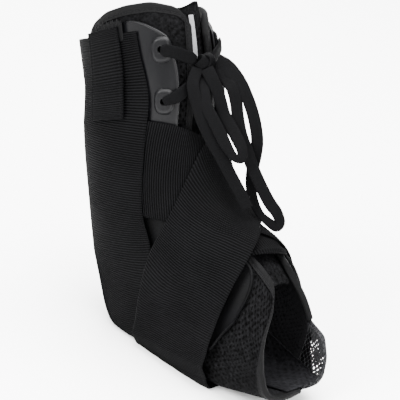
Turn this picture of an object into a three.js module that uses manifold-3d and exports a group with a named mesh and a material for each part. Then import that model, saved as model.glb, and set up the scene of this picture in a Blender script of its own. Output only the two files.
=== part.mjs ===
// Lace-up ankle brace, left standing on its sole. Millimetres, +Z up, +X towards the toe,
// the outer (near) side faces -Y. The floor is z = 0 and the origin is on it, under the middle
// of the strap that wraps the sole.
import * as THREE from "three";
import { mergeVertices } from "three/addons/utils/BufferGeometryUtils.js";
import Module from "manifold-3d";

const wasm = await Module();
wasm.setup();

// Driving dimensions.
const FOOT_LENGTH = 150;
const BRACE_HEIGHT = 245;
const HALF_WIDTH = 30;
const PAD = 3.5;
const BINDING_WIDTH = 6;
const BINDING_RISE = 0.25;
const SHELL = 1.8;
const STRAP_WIDTH = 60;
const WEBBING = 1.6;
const TAB_THICKNESS = 2.6;
const TONGUE = 3;
const PATCH = 0.6;
const MESH_SHEET = 1;
const MESH_GAP = 4;
const EYELET_WIDTH = 13;
const EYELET_HEIGHT = 17;
const EYELET_THICKNESS = 1.4;
const EYELET_HOLE = 6;
const LACE_WIDTH = 7;
const LACE_THICKNESS = 1.8;
const CLEARANCE = 0.6;
const SEAM = 0.3;
const TONGUE_GAP = 1.2;
const LACE_OVER_EYELET = 1.5;

// Facets of the sheets.
const PANEL_ACROSS_STEPS = 14;
const PANEL_DOWN_STEPS = 20;
const STRAP_ACROSS_STEPS = 6;
const SHELL_ACROSS_STEPS = 5;
const NET_ACROSS_STEPS = 6;
const NET_DOWN_STEPS = 2;

// Heights above the form's inner surface at which each layer lies.
const ON_PAD = PAD + CLEARANCE;
const ON_SHELL = ON_PAD + SHELL + CLEARANCE;
const LAYER = WEBBING + CLEARANCE;
const SOLE_LIFT = ON_PAD + LAYER + WEBBING;

// Sections of the foot-shaped form, from collar to toe. Lengths are shares of FOOT_LENGTH (x),
// BRACE_HEIGHT (z) and HALF_WIDTH (near and far half widths).
const SECTIONS = [
  { frontX: -0.39, frontZ: 1.0, backX: -0.91, backZ: 0.805, near: 0.9, far: 0.78, square: 2.3 },
  { frontX: -0.31, frontZ: 0.905, backX: -0.85, backZ: 0.735, near: 0.93, far: 0.8, square: 2.3 },
  { frontX: -0.245, frontZ: 0.81, backX: -0.79, backZ: 0.64, near: 0.97, far: 0.84, square: 2.3 },
  { frontX: -0.19, frontZ: 0.7, backX: -0.74, backZ: 0.545, near: 1.0, far: 0.88, square: 2.3 },
  { frontX: -0.15, frontZ: 0.58, backX: -0.685, backZ: 0.445, near: 1.02, far: 0.92, square: 2.3 },
  { frontX: -0.07, frontZ: 0.485, backX: -0.63, backZ: 0.34, near: 1.02, far: 0.95, square: 2.3 },
  { frontX: 0.055, frontZ: 0.415, backX: -0.575, backZ: 0.225, near: 1.0, far: 0.93, square: 2.4 },
  { frontX: 0.18, frontZ: 0.385, backX: -0.495, backZ: 0.105, near: 0.98, far: 0.9, square: 2.8 },
  { frontX: 0.29, frontZ: 0.375, backX: -0.36, backZ: -0.01, near: 0.97, far: 0.88, square: 4.0 },
  { frontX: 0.38, frontZ: 0.353, backX: -0.14, backZ: -0.015, near: 0.97, far: 0.87, square: 5.0 },
  { frontX: 0.447, frontZ: 0.318, backX: 0.093, backZ: -0.01, near: 1.03, far: 0.87, square: 5.0 },
  { frontX: 0.507, frontZ: 0.278, backX: 0.32, backZ: 0.01, near: 1.1, far: 0.87, square: 5.0 },
  { frontX: 0.553, frontZ: 0.237, backX: 0.507, backZ: 0.04, near: 1.13, far: 0.83, square: 4.2 },
  { frontX: 0.593, frontZ: 0.204, backX: 0.667, backZ: 0.065, near: 1.13, far: 0.8, square: 3.6 },
];
const FRONT_ROUNDNESS = 2.15;
const WIDEST_SHARE = 0.48;
// Lengths of a flat panel round the foot and from collar to toe.
const PANEL_ACROSS_LENGTH = 0.87 * FOOT_LENGTH;
const PANEL_DOWN_LENGTH = 1.1 * BRACE_HEIGHT;

// Edges of the padded panels: station (row number in SECTIONS) of each edge for a turn t, where
// t = 0 is the front centre line and t = 1 the back and sole centre line.
const COLLAR_EDGE = [
  { turn: 0.06, station: 1.5 },
  { turn: 0.08, station: 1.22 },
  { turn: 0.14, station: 0.9 },
  { turn: 0.27, station: 0.65 },
  { turn: 0.4, station: 0.58 },
  { turn: 0.52, station: 0.6 },
  { turn: 0.62, station: 0.8 },
  { turn: 0.7, station: 1.2 },
  { turn: 0.8, station: 1.5 },
  { turn: 1.0, station: 1.6 },
];
const TOE_EDGE = [
  { turn: 0.08, station: 9.95 },
  { turn: 0.09, station: 10.5 },
  { turn: 0.14, station: 11.05 },
  { turn: 0.22, station: 11.8 },
  { turn: 0.29, station: 12.3 },
  { turn: 0.38, station: 12.85 },
  { turn: 0.55, station: 13.0 },
  { turn: 0.8, station: 13.05 },
  { turn: 1.0, station: 12.9 },
];
const FRONT_EDGE = [
  { share: 0.0, turn: 0.06 },
  { share: 0.25, turn: 0.08 },
  { share: 0.5, turn: 0.1 },
  { share: 0.8, turn: 0.11 },
  { share: 1.0, turn: 0.08 },
];
const FAR_COLLAR_DROP = 0.4;
const FAR_TOE_SHARE = 0.92;
// Share across the far panel at which its toe binding ends and the mesh edging begins.
const FAR_BINDING_REACH = 0.72;

// Side shell outline: front and rear turn at each station.
const SHELL_ROWS = [
  { station: 1.02, front: 0.37, rear: 0.47 },
  { station: 1.1, front: 0.33, rear: 0.52 },
  { station: 1.25, front: 0.28, rear: 0.55 },
  { station: 1.5, front: 0.22, rear: 0.57 },
  { station: 1.75, front: 0.19, rear: 0.58 },
  { station: 2.6, front: 0.16, rear: 0.58 },
  { station: 3.8, front: 0.17, rear: 0.58 },
  { station: 5.2, front: 0.17, rear: 0.59 },
  { station: 6.6, front: 0.16, rear: 0.6 },
  { station: 8.0, front: 0.16, rear: 0.6 },
  { station: 8.8, front: 0.155, rear: 0.6 },
  { station: 9.3, front: 0.165, rear: 0.6 },
  { station: 9.8, front: 0.2, rear: 0.6 },
  { station: 10.25, front: 0.26, rear: 0.59 },
  { station: 10.62, front: 0.35, rear: 0.55 },
];
const EYELETS = [
  { name: "upper", station: 1.9, turn: 0.235 },
  { name: "lower", station: 3.08, turn: 0.235 },
];

// Figure-of-eight strap, from the Achilles round the ankle, over the instep, down the other
// side, under the sole and up the first side to the calf. Each row holds the turn and station
// of its rear and front edges, and whether it lies on a shell there.
const STRAP_ROWS = [
  { rearTurn: -0.996, rearStation: 3.05, frontTurn: -0.996, frontStation: 5.4, onShell: 0 },
  { rearTurn: -0.9, rearStation: 3.05, frontTurn: -0.9, frontStation: 5.4, onShell: 0 },
  { rearTurn: -0.8, rearStation: 3.05, frontTurn: -0.8, frontStation: 5.4, onShell: 0.5 },
  { rearTurn: -0.6, rearStation: 3.15, frontTurn: -0.63, frontStation: 5.5, onShell: 1 },
  { rearTurn: -0.45, rearStation: 3.3, frontTurn: -0.5, frontStation: 5.65, onShell: 1 },
  { rearTurn: -0.31, rearStation: 3.45, frontTurn: -0.4, frontStation: 5.8, onShell: 1.15 },
  { rearTurn: -0.16, rearStation: 3.65, frontTurn: -0.28, frontStation: 6.15, onShell: 1.1 },
  { rearTurn: -0.04, rearStation: 3.95, frontTurn: -0.15, frontStation: 6.9, onShell: 1.15 },
  { rearTurn: 0.06, rearStation: 4.2, frontTurn: -0.03, frontStation: 7.6, onShell: 1.15 },
  { rearTurn: 0.18, rearStation: 5.15, frontTurn: 0.05, frontStation: 8.1, onShell: 1.15 },
  { rearTurn: 0.32, rearStation: 6.2, frontTurn: 0.21, frontStation: 9.2, onShell: 1.1 },
  { rearTurn: 0.4, rearStation: 6.75, frontTurn: 0.31, frontStation: 9.9, onShell: 1 },
  { rearTurn: 0.52, rearStation: 7.7, frontTurn: 0.42, frontStation: 10.45, onShell: 1 },
  { rearTurn: 0.62, rearStation: 8.35, frontTurn: 0.55, frontStation: 10.75, onShell: 1 },
  { rearTurn: 0.69, rearStation: 8.65, frontTurn: 0.64, frontStation: 10.85, onShell: 0.6 },
  { rearTurn: 0.74, rearStation: 8.85, frontTurn: 0.7, frontStation: 10.98, onShell: 0 },
  { rearTurn: 0.79, rearStation: 8.9, frontTurn: 0.78, frontStation: 11.05, onShell: 0 },
  { rearTurn: 0.88, rearStation: 8.9, frontTurn: 0.88, frontStation: 11.05, onShell: 0 },
  { rearTurn: 1.0, rearStation: 8.85, frontTurn: 1.0, frontStation: 10.9, onShell: 0 },
  { rearTurn: 1.12, rearStation: 8.65, frontTurn: 1.12, frontStation: 10.6, onShell: 0 },
  { rearTurn: 1.19, rearStation: 8.4, frontTurn: 1.2, frontStation: 10.3, onShell: 0 },
  { rearTurn: 1.22, rearStation: 8.1, frontTurn: 1.25, frontStation: 10.05, onShell: 0 },
  { rearTurn: 1.24, rearStation: 7.8, frontTurn: 1.31, frontStation: 9.7, onShell: 0.36 },
  { rearTurn: 1.245, rearStation: 7.35, frontTurn: 1.42, frontStation: 9.0, onShell: 0.88 },
  { rearTurn: 1.25, rearStation: 6.8, frontTurn: 1.53, frontStation: 7.9, onShell: 1 },
  { rearTurn: 1.255, rearStation: 6.15, frontTurn: 1.59, frontStation: 6.65, onShell: 1 },
  { rearTurn: 1.265, rearStation: 5.3, frontTurn: 1.61, frontStation: 5.75, onShell: 1 },
  { rearTurn: 1.275, rearStation: 4.5, frontTurn: 1.65, frontStation: 4.9, onShell: 1 },
  { rearTurn: 1.285, rearStation: 3.7, frontTurn: 1.68, frontStation: 4.15, onShell: 1 },
  { rearTurn: 1.295, rearStation: 2.75, frontTurn: 1.7, frontStation: 3.0, onShell: 1 },
  { rearTurn: 1.265, rearStation: 1.95, frontTurn: 1.67, frontStation: 1.95, onShell: 1 },
  { rearTurn: 1.22, rearStation: 1.15, frontTurn: 1.66, frontStation: 1.33, onShell: 1 },
];
// Width of the strap that the rows describe.
const STRAP_TABLE_WIDTH = 60;
// Layers of webbing under each strap, by row number of STRAP_ROWS.
const INNER_LAYERS = [
  { row: 0, under: 0 },
  { row: 23, under: 0 },
  { row: 24.5, under: 1 },
  { row: 28.4, under: 1 },
  { row: 29.4, under: 0 },
  { row: 31, under: 0 },
];
const OUTER_LAYERS = [
  { row: 0, under: 0 },
  { row: 2, under: 0 },
  { row: 4, under: 1.1 },
  { row: 6, under: 1.3 },
  { row: 9, under: 1.3 },
  { row: 10, under: 2.15 },
  { row: 14, under: 2 },
  { row: 15, under: 1.1 },
  { row: 16, under: 1.08 },
  { row: 21, under: 1.08 },
  { row: 23, under: 2.05 },
  { row: 28.4, under: 2 },
  { row: 29.4, under: 0 },
  { row: 31, under: 0 },
];
// Facets along the straps: row numbers between which a row is cut into a number of steps.
const STRAP_STEPS = [
  { from: 0, to: 12, steps: 2 },
  { from: 12, to: 24, steps: 3 },
  { from: 24, to: 31, steps: 2 },
];
// Pull tab sewn on the calf end of each strap.
const TAB_ROWS = [
  { station: 1.12, rear: 0.6, front: 0.42, under: 0 },
  { station: 1.8, rear: 0.597, front: 0.41, under: 0 },
  { station: 2.35, rear: 0.594, front: 0.405, under: 0.15 },
  { station: 2.8, rear: 0.592, front: 0.402, under: 0.75 },
  { station: 3.35, rear: 0.59, front: 0.4, under: 1.05 },
];
// Tongue behind the laces.
const TONGUE_ROWS = [
  { station: 0.92, half: 0.19 },
  { station: 1.2, half: 0.21 },
  { station: 3.0, half: 0.21 },
  { station: 6.0, half: 0.19 },
  { station: 8.4, half: 0.17 },
  { station: 10.1, half: 0.13 },
];

const PATCH_PLACE = { top: 1.15, bottom: 2.25, near: -0.05, far: -0.005 };
// Mesh edging on the far side of the toe: turns of its ends, and how far it stops short of
// the toe edge of the near panel.
const NET_PLACE = { front: 0.36, sole: 0.93, gap: 0.05, short: 0.2 };
const NET_WIDTH = 54;
const NET_DEPTH = 26;
const MESH_PITCH = 5.8;
const MESH_ROW_PITCH = 5.2;

const KNOT = { x: -26.5, y: -2, z: 192, long: 5.2, wide: 7.5, tall: 6.5 };
const LACE_FACE = { x: 0.62, y: -0.69, z: 0.37 };
const LACE_TAPER = 0.12;
// Routes of the loose laces, in millimetres. Each leaves the knot towards its first point, and
// a loop comes back to it from its last.
const FREE_LACES = [
  {
    name: "bow_loop_long",
    loop: true,
    steps: 28,
    tapers: { start: 0.6, tip: 0.5, tipAt: 0.47, end: 0.6 },
    points: [
      [-21.5, 5, 193], [-16, 6, 191.5], [-8, 7, 188], [-0.5, 8, 182.5], [7, 9, 173.5],
      [13, 10, 163], [16.5, 11, 152], [16.5, 12, 142.5], [16, 12, 133], [17.5, 11, 124.5],
      [20.5, 10, 117.5], [26, 9, 111.5], [33, 8, 107.5], [40, 9, 105], [45, 11, 103.5],
      [45.5, 13, 106], [42.5, 12, 112], [37, 10, 117], [31, 8, 124], [25, 6, 132],
      [19.5, 5, 139], [14.5, 4, 147], [9, 3, 155], [4, 3, 164.5], [0, 3, 174],
      [-5.5, 3, 181.5], [-13, 3, 185], [-21, 3, 187],
    ],
  },
  {
    name: "bow_loop_short",
    loop: true,
    steps: 16,
    tapers: { start: 0.6, tip: 0.5, tipAt: 0.52, end: 0.6 },
    points: [
      [-21, -6, 189.5], [-16, -5, 184.5], [-10.5, -4, 178], [-6.5, -3.5, 171.5], [-2.5, -3, 165],
      [4.5, -3, 159.5], [11.5, -3, 154], [17.5, -3.5, 148.5], [20, -5, 143.5],
      [17, -8, 143.5], [11, -10, 148.5], [4, -11, 155.5], [-3, -12, 162.5],
      [-10.5, -12.5, 169.5], [-16.5, -10.5, 177], [-22.5, -7, 183],
    ],
  },
  {
    name: "lace_end_near",
    loop: false,
    steps: 10,
    tapers: { start: 0.6, tip: 1, tipAt: 0.5, end: 1 },
    points: [
      [-26.5, -11.2, 188], [-24, -16, 180], [-18, -18.5, 170], [-12, -19, 161], [-4, -17, 151],
      [5, -14, 141], [13, -11, 131], [21, -8, 121], [27, -6, 113],
    ],
  },
];
// Lace runs on the form: lift is 1 over the eyelet plate and 0 on the front.
const UPPER_RUN = [
  { station: 1.9, turn: 0.235, lift: 1 },
  { station: 2.0, turn: 0.18, lift: 0.8 },
  { station: 2.15, turn: 0.12, lift: 0.3 },
  { station: 2.25, turn: 0.07, lift: 0.1 },
];
const LOWER_RUN = [
  { station: 3.08, turn: 0.235, lift: 1 },
  { station: 3.0, turn: 0.18, lift: 0.8 },
  { station: 2.85, turn: 0.12, lift: 0.3 },
  { station: 2.78, turn: 0.06, lift: 0 },
  { station: 2.76, turn: 0, lift: 0 },
];
const UPPER_RUN_FLOOR = PAD + BINDING_RISE + SEAM + LACE_THICKNESS;
const LOWER_RUN_FLOOR = PAD + BINDING_RISE + SEAM + LACE_THICKNESS / 2;

// A curve through the values of one column, at a fractional row number.
function spline(values, at) {
  const last = values.length - 1;
  const i = Math.min(last - 1, Math.max(0, Math.floor(at)));
  const f = at - i;
  const b = values[i];
  const c = values[i + 1];
  const a = i > 0 ? values[i - 1] : 2 * b - c;
  const d = i + 2 <= last ? values[i + 2] : 2 * c - b;
  const quadratic = 2 * a - 5 * b + 4 * c - d;
  const cubic = 3 * b - a - 3 * c + d;
  return 0.5 * (2 * b + (c - a) * f + quadratic * f * f + cubic * f * f * f);
}

// The value of column y at x, straight between the rows of a table.
function lookUp(rows, xName, yName, x) {
  let i = 0;
  while (i < rows.length - 2 && x > rows[i + 1][xName]) i += 1;
  const f = (x - rows[i][xName]) / (rows[i + 1][xName] - rows[i][xName]);
  return THREE.MathUtils.lerp(rows[i][yName], rows[i + 1][yName], THREE.MathUtils.clamp(f, 0, 1));
}

const column = (rows, name) => rows.map((row) => row[name]);
const sectionColumns = Object.fromEntries(
  Object.keys(SECTIONS[0]).map((name) => [name, column(SECTIONS, name)]),
);

// A point on the form's inner surface.
function inner(station, turn) {
  const get = (name) => spline(sectionColumns[name], station);
  const frontX = get("frontX") * FOOT_LENGTH;
  const frontZ = get("frontZ") * BRACE_HEIGHT;
  const backX = get("backX") * FOOT_LENGTH;
  const backZ = get("backZ") * BRACE_HEIGHT;
  const cosine = Math.cos(Math.PI * turn);
  const sine = Math.sin(Math.PI * turn);
  const power = cosine > 0 ? FRONT_ROUNDNESS : get("square");
  const reach = (Math.abs(cosine) ** power + Math.abs(sine) ** power) ** (-1 / power);
  const middleX = backX + WIDEST_SHARE * (frontX - backX);
  const middleZ = backZ + WIDEST_SHARE * (frontZ - backZ);
  const along = cosine * reach;
  const endX = along > 0 ? frontX : backX;
  const endZ = along > 0 ? frontZ : backZ;
  const width = (sine > 0 ? get("far") : get("near")) * HALF_WIDTH;
  return new THREE.Vector3(
    middleX + Math.abs(along) * (endX - middleX),
    width * sine * reach,
    middleZ + Math.abs(along) * (endZ - middleZ),
  );
}

const STATION_STEP = 0.02;
const TURN_STEP = 0.004;

// The outward direction of the form at a point.
function outward(station, turn) {
  const down = inner(station + STATION_STEP, turn).sub(inner(station - STATION_STEP, turn));
  const round = inner(station, turn + TURN_STEP).sub(inner(station, turn - TURN_STEP));
  return down.cross(round).normalize();
}

// A point at a height above the form's inner surface, flattened on the sole at the level floor.
function onForm(station, turn, height, floor = SOLE_LIFT - height) {
  const point = inner(station, turn).addScaledVector(outward(station, turn), height);
  point.z = Math.max(point.z, floor);
  return point;
}

// Bends a geometry by a function of its points and returns one merged closed geometry.
function bent(geometry, place) {
  geometry.deleteAttribute("normal");
  geometry.deleteAttribute("uv");
  const positions = geometry.attributes.position;
  for (let i = 0; i < positions.count; i += 1) {
    const point = place(positions.getX(i), positions.getY(i), positions.getZ(i));
    positions.setXYZ(i, point.x, point.y, point.z);
  }
  const merged = mergeVertices(geometry, 1e-4);
  return volume(merged) < 0 ? turnedInsideOut(merged) : merged;
}

function volume(geometry) {
  const index = geometry.index.array;
  const corner = [0, 1, 2].map(() => new THREE.Vector3());
  let sum = 0;
  for (let i = 0; i < index.length; i += 3) {
    corner.forEach((c, k) => c.fromBufferAttribute(geometry.attributes.position, index[i + k]));
    sum += corner[0].dot(corner[1].clone().cross(corner[2]));
  }
  return sum / 6;
}

function turnedInsideOut(geometry) {
  const index = geometry.index.array;
  for (let i = 0; i < index.length; i += 3) {
    [index[i + 1], index[i + 2]] = [index[i + 2], index[i + 1]];
  }
  return geometry;
}

// A sheet with across x along facets, placed by place(u, v, w), each from 0 to 1.
function sheet(across, along, place) {
  const box = new THREE.BoxGeometry(1, 1, 1, across, along, 1);
  return bent(box, (x, y, z) => place(x + 0.5, y + 0.5, z + 0.5));
}

const materials = {
  pad: new THREE.MeshStandardMaterial({ color: "#2b2b2d", roughness: 0.95, metalness: 0 }),
  binding: new THREE.MeshStandardMaterial({ color: "#38383a", roughness: 0.8, metalness: 0 }),
  shell: new THREE.MeshStandardMaterial({ color: "#3c3c40", roughness: 0.4, metalness: 0 }),
  webbing: new THREE.MeshStandardMaterial({ color: "#242426", roughness: 0.85, metalness: 0 }),
  lace: new THREE.MeshStandardMaterial({ color: "#1c1c1e", roughness: 0.8, metalness: 0 }),
  patch: new THREE.MeshStandardMaterial({ color: "#a3a3a3", roughness: 0.8, metalness: 0 }),
};
const group = new THREE.Group();

function add(name, geometry, material) {
  const mesh = new THREE.Mesh(geometry, material);
  mesh.name = name;
  group.add(mesh);
  return mesh;
}

// One panel as a square: share across from the back (0) to the front edge (1), and share down
// from the collar (0) to the toe (1).
function panelPoint(side, across, down) {
  const far = side > 0;
  const front = lookUp(FRONT_EDGE, "share", "turn", down);
  const turn = THREE.MathUtils.lerp(1, front, across);
  const drop = far ? FAR_COLLAR_DROP : 0;
  const toe = far ? FAR_TOE_SHARE : 1;
  const top = lookUp(COLLAR_EDGE, "turn", "station", turn) + drop;
  const end = lookUp(TOE_EDGE, "turn", "station", turn) * toe;
  return { station: THREE.MathUtils.lerp(top, end, down), turn: side * turn };
}

const bindingAcross = BINDING_WIDTH / PANEL_ACROSS_LENGTH;
const bindingDown = BINDING_WIDTH / PANEL_DOWN_LENGTH;
const seamAcross = SEAM / PANEL_ACROSS_LENGTH;
const seamDown = (2 * SEAM) / PANEL_DOWN_LENGTH;

for (const [label, side] of [["near", -1], ["far", 1]]) {
  const panel = sheet(PANEL_ACROSS_STEPS, PANEL_DOWN_STEPS, (u, v, w) => {
    const across = THREE.MathUtils.lerp(seamAcross, 1 - bindingAcross - seamAcross, u);
    const down = THREE.MathUtils.lerp(bindingDown + seamDown, 1 - bindingDown - seamDown, v);
    const { station, turn } = panelPoint(side, across, down);
    return onForm(station, turn, PAD * w);
  });
  add(`side_panel_${label}`, panel, materials.pad);

  // The binding follows the collar edge, the front edge and the toe edge.
  const steps = 2 * PANEL_ACROSS_STEPS + PANEL_DOWN_STEPS;
  const collarShare = PANEL_ACROSS_STEPS / steps;
  const toeShare = 1 - collarShare;
  const toeReach = side > 0 ? FAR_BINDING_REACH : seamAcross;
  const border = (along, inset) => {
    if (along < collarShare) {
      const f = along / collarShare;
      return [THREE.MathUtils.lerp(seamAcross, 1 - inset * bindingAcross, f), inset * bindingDown];
    }
    if (along > toeShare) {
      const f = (1 - along) / (1 - toeShare);
      const down = 1 - inset * bindingDown;
      return [THREE.MathUtils.lerp(toeReach, 1 - inset * bindingAcross, f), down];
    }
    const f = (along - collarShare) / (toeShare - collarShare);
    const down = THREE.MathUtils.lerp(inset * bindingDown, 1 - inset * bindingDown, f);
    return [1 - inset * bindingAcross, down];
  };
  const binding = sheet(1, steps, (u, v, w) => {
    const [across, down] = border(v, u);
    const { station, turn } = panelPoint(side, across, down);
    const height = THREE.MathUtils.lerp(-BINDING_RISE, PAD + BINDING_RISE, w);
    return onForm(station, turn, height);
  });
  add(`edge_binding_${label}`, binding, materials.binding);
}

const strapColumns = Object.fromEntries(
  Object.keys(STRAP_ROWS[0]).map((name) => [name, column(STRAP_ROWS, name)]),
);

// The height of the underside of a strap that has a number of webbing layers under it.
function strapHeight(onShell, under) {
  return THREE.MathUtils.lerp(ON_PAD, ON_SHELL, onShell) + under * LAYER;
}

// A point on a strap: row number along it, share across it from rear (0) to front (1), share
// through it. side mirrors the table, and layers gives the webbing under it.
function strapPoint(side, layers, row, across, through) {
  const get = (name) => spline(strapColumns[name], row);
  const widen = (STRAP_WIDTH / STRAP_TABLE_WIDTH) * (across - 0.5) + 0.5;
  const turn = THREE.MathUtils.lerp(get("rearTurn"), get("frontTurn"), widen);
  const station = THREE.MathUtils.lerp(get("rearStation"), get("frontStation"), widen);
  const onShell = Math.max(0, get("onShell"));
  const height = strapHeight(onShell, lookUp(layers, "row", "under", row));
  const floor = Math.max(SOLE_LIFT - height, WEBBING) - through * WEBBING;
  return onForm(station, side * turn, height + through * WEBBING, floor);
}

const strapCuts = [0];
for (const { from, to, steps } of STRAP_STEPS) {
  for (let i = 1; i <= (to - from) * steps; i += 1) strapCuts.push(from + i / steps);
}
for (const [name, side, layers] of [
  ["strap_inner", 1, INNER_LAYERS],
  ["strap_outer", -1, OUTER_LAYERS],
]) {
  const strap = sheet(STRAP_ACROSS_STEPS, strapCuts.length - 1, (u, v, w) => {
    const row = strapCuts[Math.round(v * (strapCuts.length - 1))];
    return strapPoint(side, layers, row, u, w);
  });
  add(name, strap, materials.webbing);
}

// Shells with an oval eyelet plate over each lace hole.
function frameAt(station, turn, height) {
  const origin = onForm(station, turn, height);
  const normal = outward(station, turn);
  const down = inner(station + STATION_STEP, turn).sub(inner(station - STATION_STEP, turn));
  down.normalize();
  const sideways = down.clone().cross(normal);
  return new THREE.Matrix4().makeBasis(sideways, down, normal).setPosition(origin);
}

function toSolid(geometry) {
  return new wasm.Manifold(new wasm.Mesh({
    numProp: 3,
    vertProperties: new Float32Array(geometry.attributes.position.array),
    triVerts: new Uint32Array(geometry.index.array),
  }));
}

function fromSolid(solid) {
  const mesh = solid.getMesh();
  const geometry = new THREE.BufferGeometry();
  geometry.setAttribute("position", new THREE.BufferAttribute(mesh.vertProperties, 3));
  geometry.setIndex(new THREE.BufferAttribute(mesh.triVerts, 1));
  return geometry;
}

const shellTop = SHELL_ROWS[0].station;
const shellEnd = SHELL_ROWS[SHELL_ROWS.length - 1].station;
const shellColumns = {
  station: column(SHELL_ROWS, "station"),
  front: column(SHELL_ROWS, "front"),
  rear: column(SHELL_ROWS, "rear"),
};

for (const [label, side] of [["near", -1], ["far", 1]]) {
  const plate = sheet(SHELL_ACROSS_STEPS, (SHELL_ROWS.length - 1) * 2, (u, v, w) => {
    const row = v * (SHELL_ROWS.length - 1);
    const front = spline(shellColumns.front, row);
    const rear = spline(shellColumns.rear, row);
    const station = spline(shellColumns.station, row);
    const turn = THREE.MathUtils.lerp(front, rear, u);
    return onForm(station, side * turn, ON_PAD + w * SHELL);
  });
  let shell = toSolid(plate);
  for (const eyelet of EYELETS) {
    const place = frameAt(eyelet.station, side * eyelet.turn, ON_PAD);
    const drill = new THREE.CylinderGeometry(EYELET_HOLE / 2, EYELET_HOLE / 2, SHELL * 6, 16);
    drill.rotateX(Math.PI / 2);
    shell = shell.subtract(toSolid(bent(drill, (x, y, z) => {
      return new THREE.Vector3(x, y, z).applyMatrix4(place);
    })));
    const ring = new THREE.Shape();
    ring.absellipse(0, 0, EYELET_WIDTH / 2, EYELET_HEIGHT / 2, 0, Math.PI * 2);
    const hole = new THREE.Path();
    hole.absarc(0, 0, EYELET_HOLE / 2, 0, Math.PI * 2, true);
    ring.holes.push(hole);
    const plateSolid = new THREE.ExtrudeGeometry(ring, {
      depth: EYELET_THICKNESS,
      bevelEnabled: false,
      curveSegments: 6,
    });
    const seat = frameAt(eyelet.station, side * eyelet.turn, ON_PAD + SHELL + SEAM);
    const eyeletPlate = bent(plateSolid, (x, y, z) => new THREE.Vector3(x, y, z).applyMatrix4(seat));
    add(`eyelet_${label}_${eyelet.name}`, eyeletPlate, materials.shell);
  }
  add(`side_shell_${label}`, fromSolid(shell), materials.shell);

  // Pull tab, folded double, on the calf end of the strap.
  const tab = sheet(3, (TAB_ROWS.length - 1) * 2, (u, v, w) => {
    const row = v * (TAB_ROWS.length - 1);
    const turn = THREE.MathUtils.lerp(
      spline(column(TAB_ROWS, "rear"), row),
      spline(column(TAB_ROWS, "front"), row),
      u,
    );
    const under = spline(column(TAB_ROWS, "under"), row) * (side > 0 ? 2 : 1);
    const height = ON_SHELL + (1 + under) * LAYER + w * TAB_THICKNESS;
    return onForm(spline(column(TAB_ROWS, "station"), row), side * turn, height);
  });
  add(`pull_tab_${label}`, tab, materials.webbing);
}

// Tongue under the front edges of the panels, and the blank patch on it.
const tongueRows = TONGUE_ROWS.length - 1;
const tongueHeight = -BINDING_RISE - TONGUE_GAP - TONGUE;
const tongue = sheet(6, tongueRows * 4, (u, v, w) => {
  const station = spline(column(TONGUE_ROWS, "station"), v * tongueRows);
  const half = spline(column(TONGUE_ROWS, "half"), v * tongueRows);
  return onForm(station, (u * 2 - 1) * half, tongueHeight + w * TONGUE);
});
add("tongue", tongue, materials.pad);

// The blank woven patch near the top of the tongue.
const patch = sheet(2, 6, (u, v, w) => {
  const station = THREE.MathUtils.lerp(PATCH_PLACE.top, PATCH_PLACE.bottom, v);
  const turn = THREE.MathUtils.lerp(PATCH_PLACE.near, PATCH_PLACE.far, u);
  return onForm(station, turn, tongueHeight + TONGUE + SEAM + w * PATCH);
});
add("tongue_patch", patch, materials.patch);

// Open mesh edging at the far side of the toe: staggered rows of diamond holes cut through.
const netColumns = Math.round(NET_WIDTH / MESH_PITCH);
const netRows = Math.round(NET_DEPTH / MESH_ROW_PITCH);
const netHeight = (PAD - MESH_SHEET) / 2;
function netPlace(u, v) {
  const turn = THREE.MathUtils.lerp(NET_PLACE.front, NET_PLACE.sole, u);
  const front = lookUp(FRONT_EDGE, "share", "turn", 1);
  const panelEnd = panelPoint(1, (1 - turn) / (1 - front), 1 - bindingDown - seamDown);
  const start = panelEnd.station + NET_PLACE.gap;
  const end = lookUp(TOE_EDGE, "turn", "station", turn) - NET_PLACE.short;
  return { station: THREE.MathUtils.lerp(start, end, v), turn };
}
const netHoles = [];
for (let row = 0; row < netRows; row += 1) {
  for (let i = 0; i < netColumns - (row % 2); i += 1) {
    const { station, turn } = netPlace((i + 0.5 + (row % 2) * 0.5) / netColumns, (row + 0.5) / netRows);
    const place = frameAt(station, turn, netHeight);
    const drill = new THREE.CylinderGeometry(MESH_GAP / 2, MESH_GAP / 2, 4 * MESH_SHEET, 4);
    drill.rotateX(Math.PI / 2);
    netHoles.push(toSolid(bent(drill, (x, y, z) => new THREE.Vector3(x, y, z).applyMatrix4(place))));
  }
}
const netSheet = toSolid(sheet(NET_ACROSS_STEPS, NET_DOWN_STEPS, (u, v, w) => {
  const { station, turn } = netPlace(u, v);
  return onForm(station, turn, netHeight + w * MESH_SHEET);
}));
const net = fromSolid(netSheet.subtract(wasm.Manifold.compose(netHoles)));
add("toe_mesh", net, materials.lace);

// A flat lace through a list of points, its face turned towards a direction. tapers gives the
// shares of its width to which it is bunched at its start, at a loop's tip and at its end.
function lace(points, face, steps, tapers) {
  const curve = new THREE.CatmullRomCurve3(points, false, "centripetal");
  const section = new THREE.Shape();
  section.absellipse(0, 0, 0.5, 0.5, 0, Math.PI * 2);
  const strip = new THREE.ExtrudeGeometry(section, {
    depth: 1,
    steps,
    bevelEnabled: false,
    curveSegments: 4,
  });
  return bent(strip, (x, y, z) => {
    const middle = curve.getPointAt(THREE.MathUtils.clamp(z, 0, 1));
    const along = curve.getTangentAt(THREE.MathUtils.clamp(z, 0, 1));
    const facing = typeof face === "function" ? face(z) : face.clone();
    const wide = along.clone().cross(facing).normalize();
    const thick = wide.clone().cross(along).normalize();
    const grown = (share, distance) => {
      return THREE.MathUtils.lerp(share, 1, Math.min(1, distance / LACE_TAPER));
    };
    const bunched = Math.min(
      grown(tapers.start, z),
      grown(tapers.tip, Math.abs(z - tapers.tipAt)),
      grown(tapers.end, 1 - z),
    );
    return middle
      .addScaledVector(wide, x * LACE_WIDTH * bunched)
      .addScaledVector(thick, y * LACE_THICKNESS);
  });
}

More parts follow.
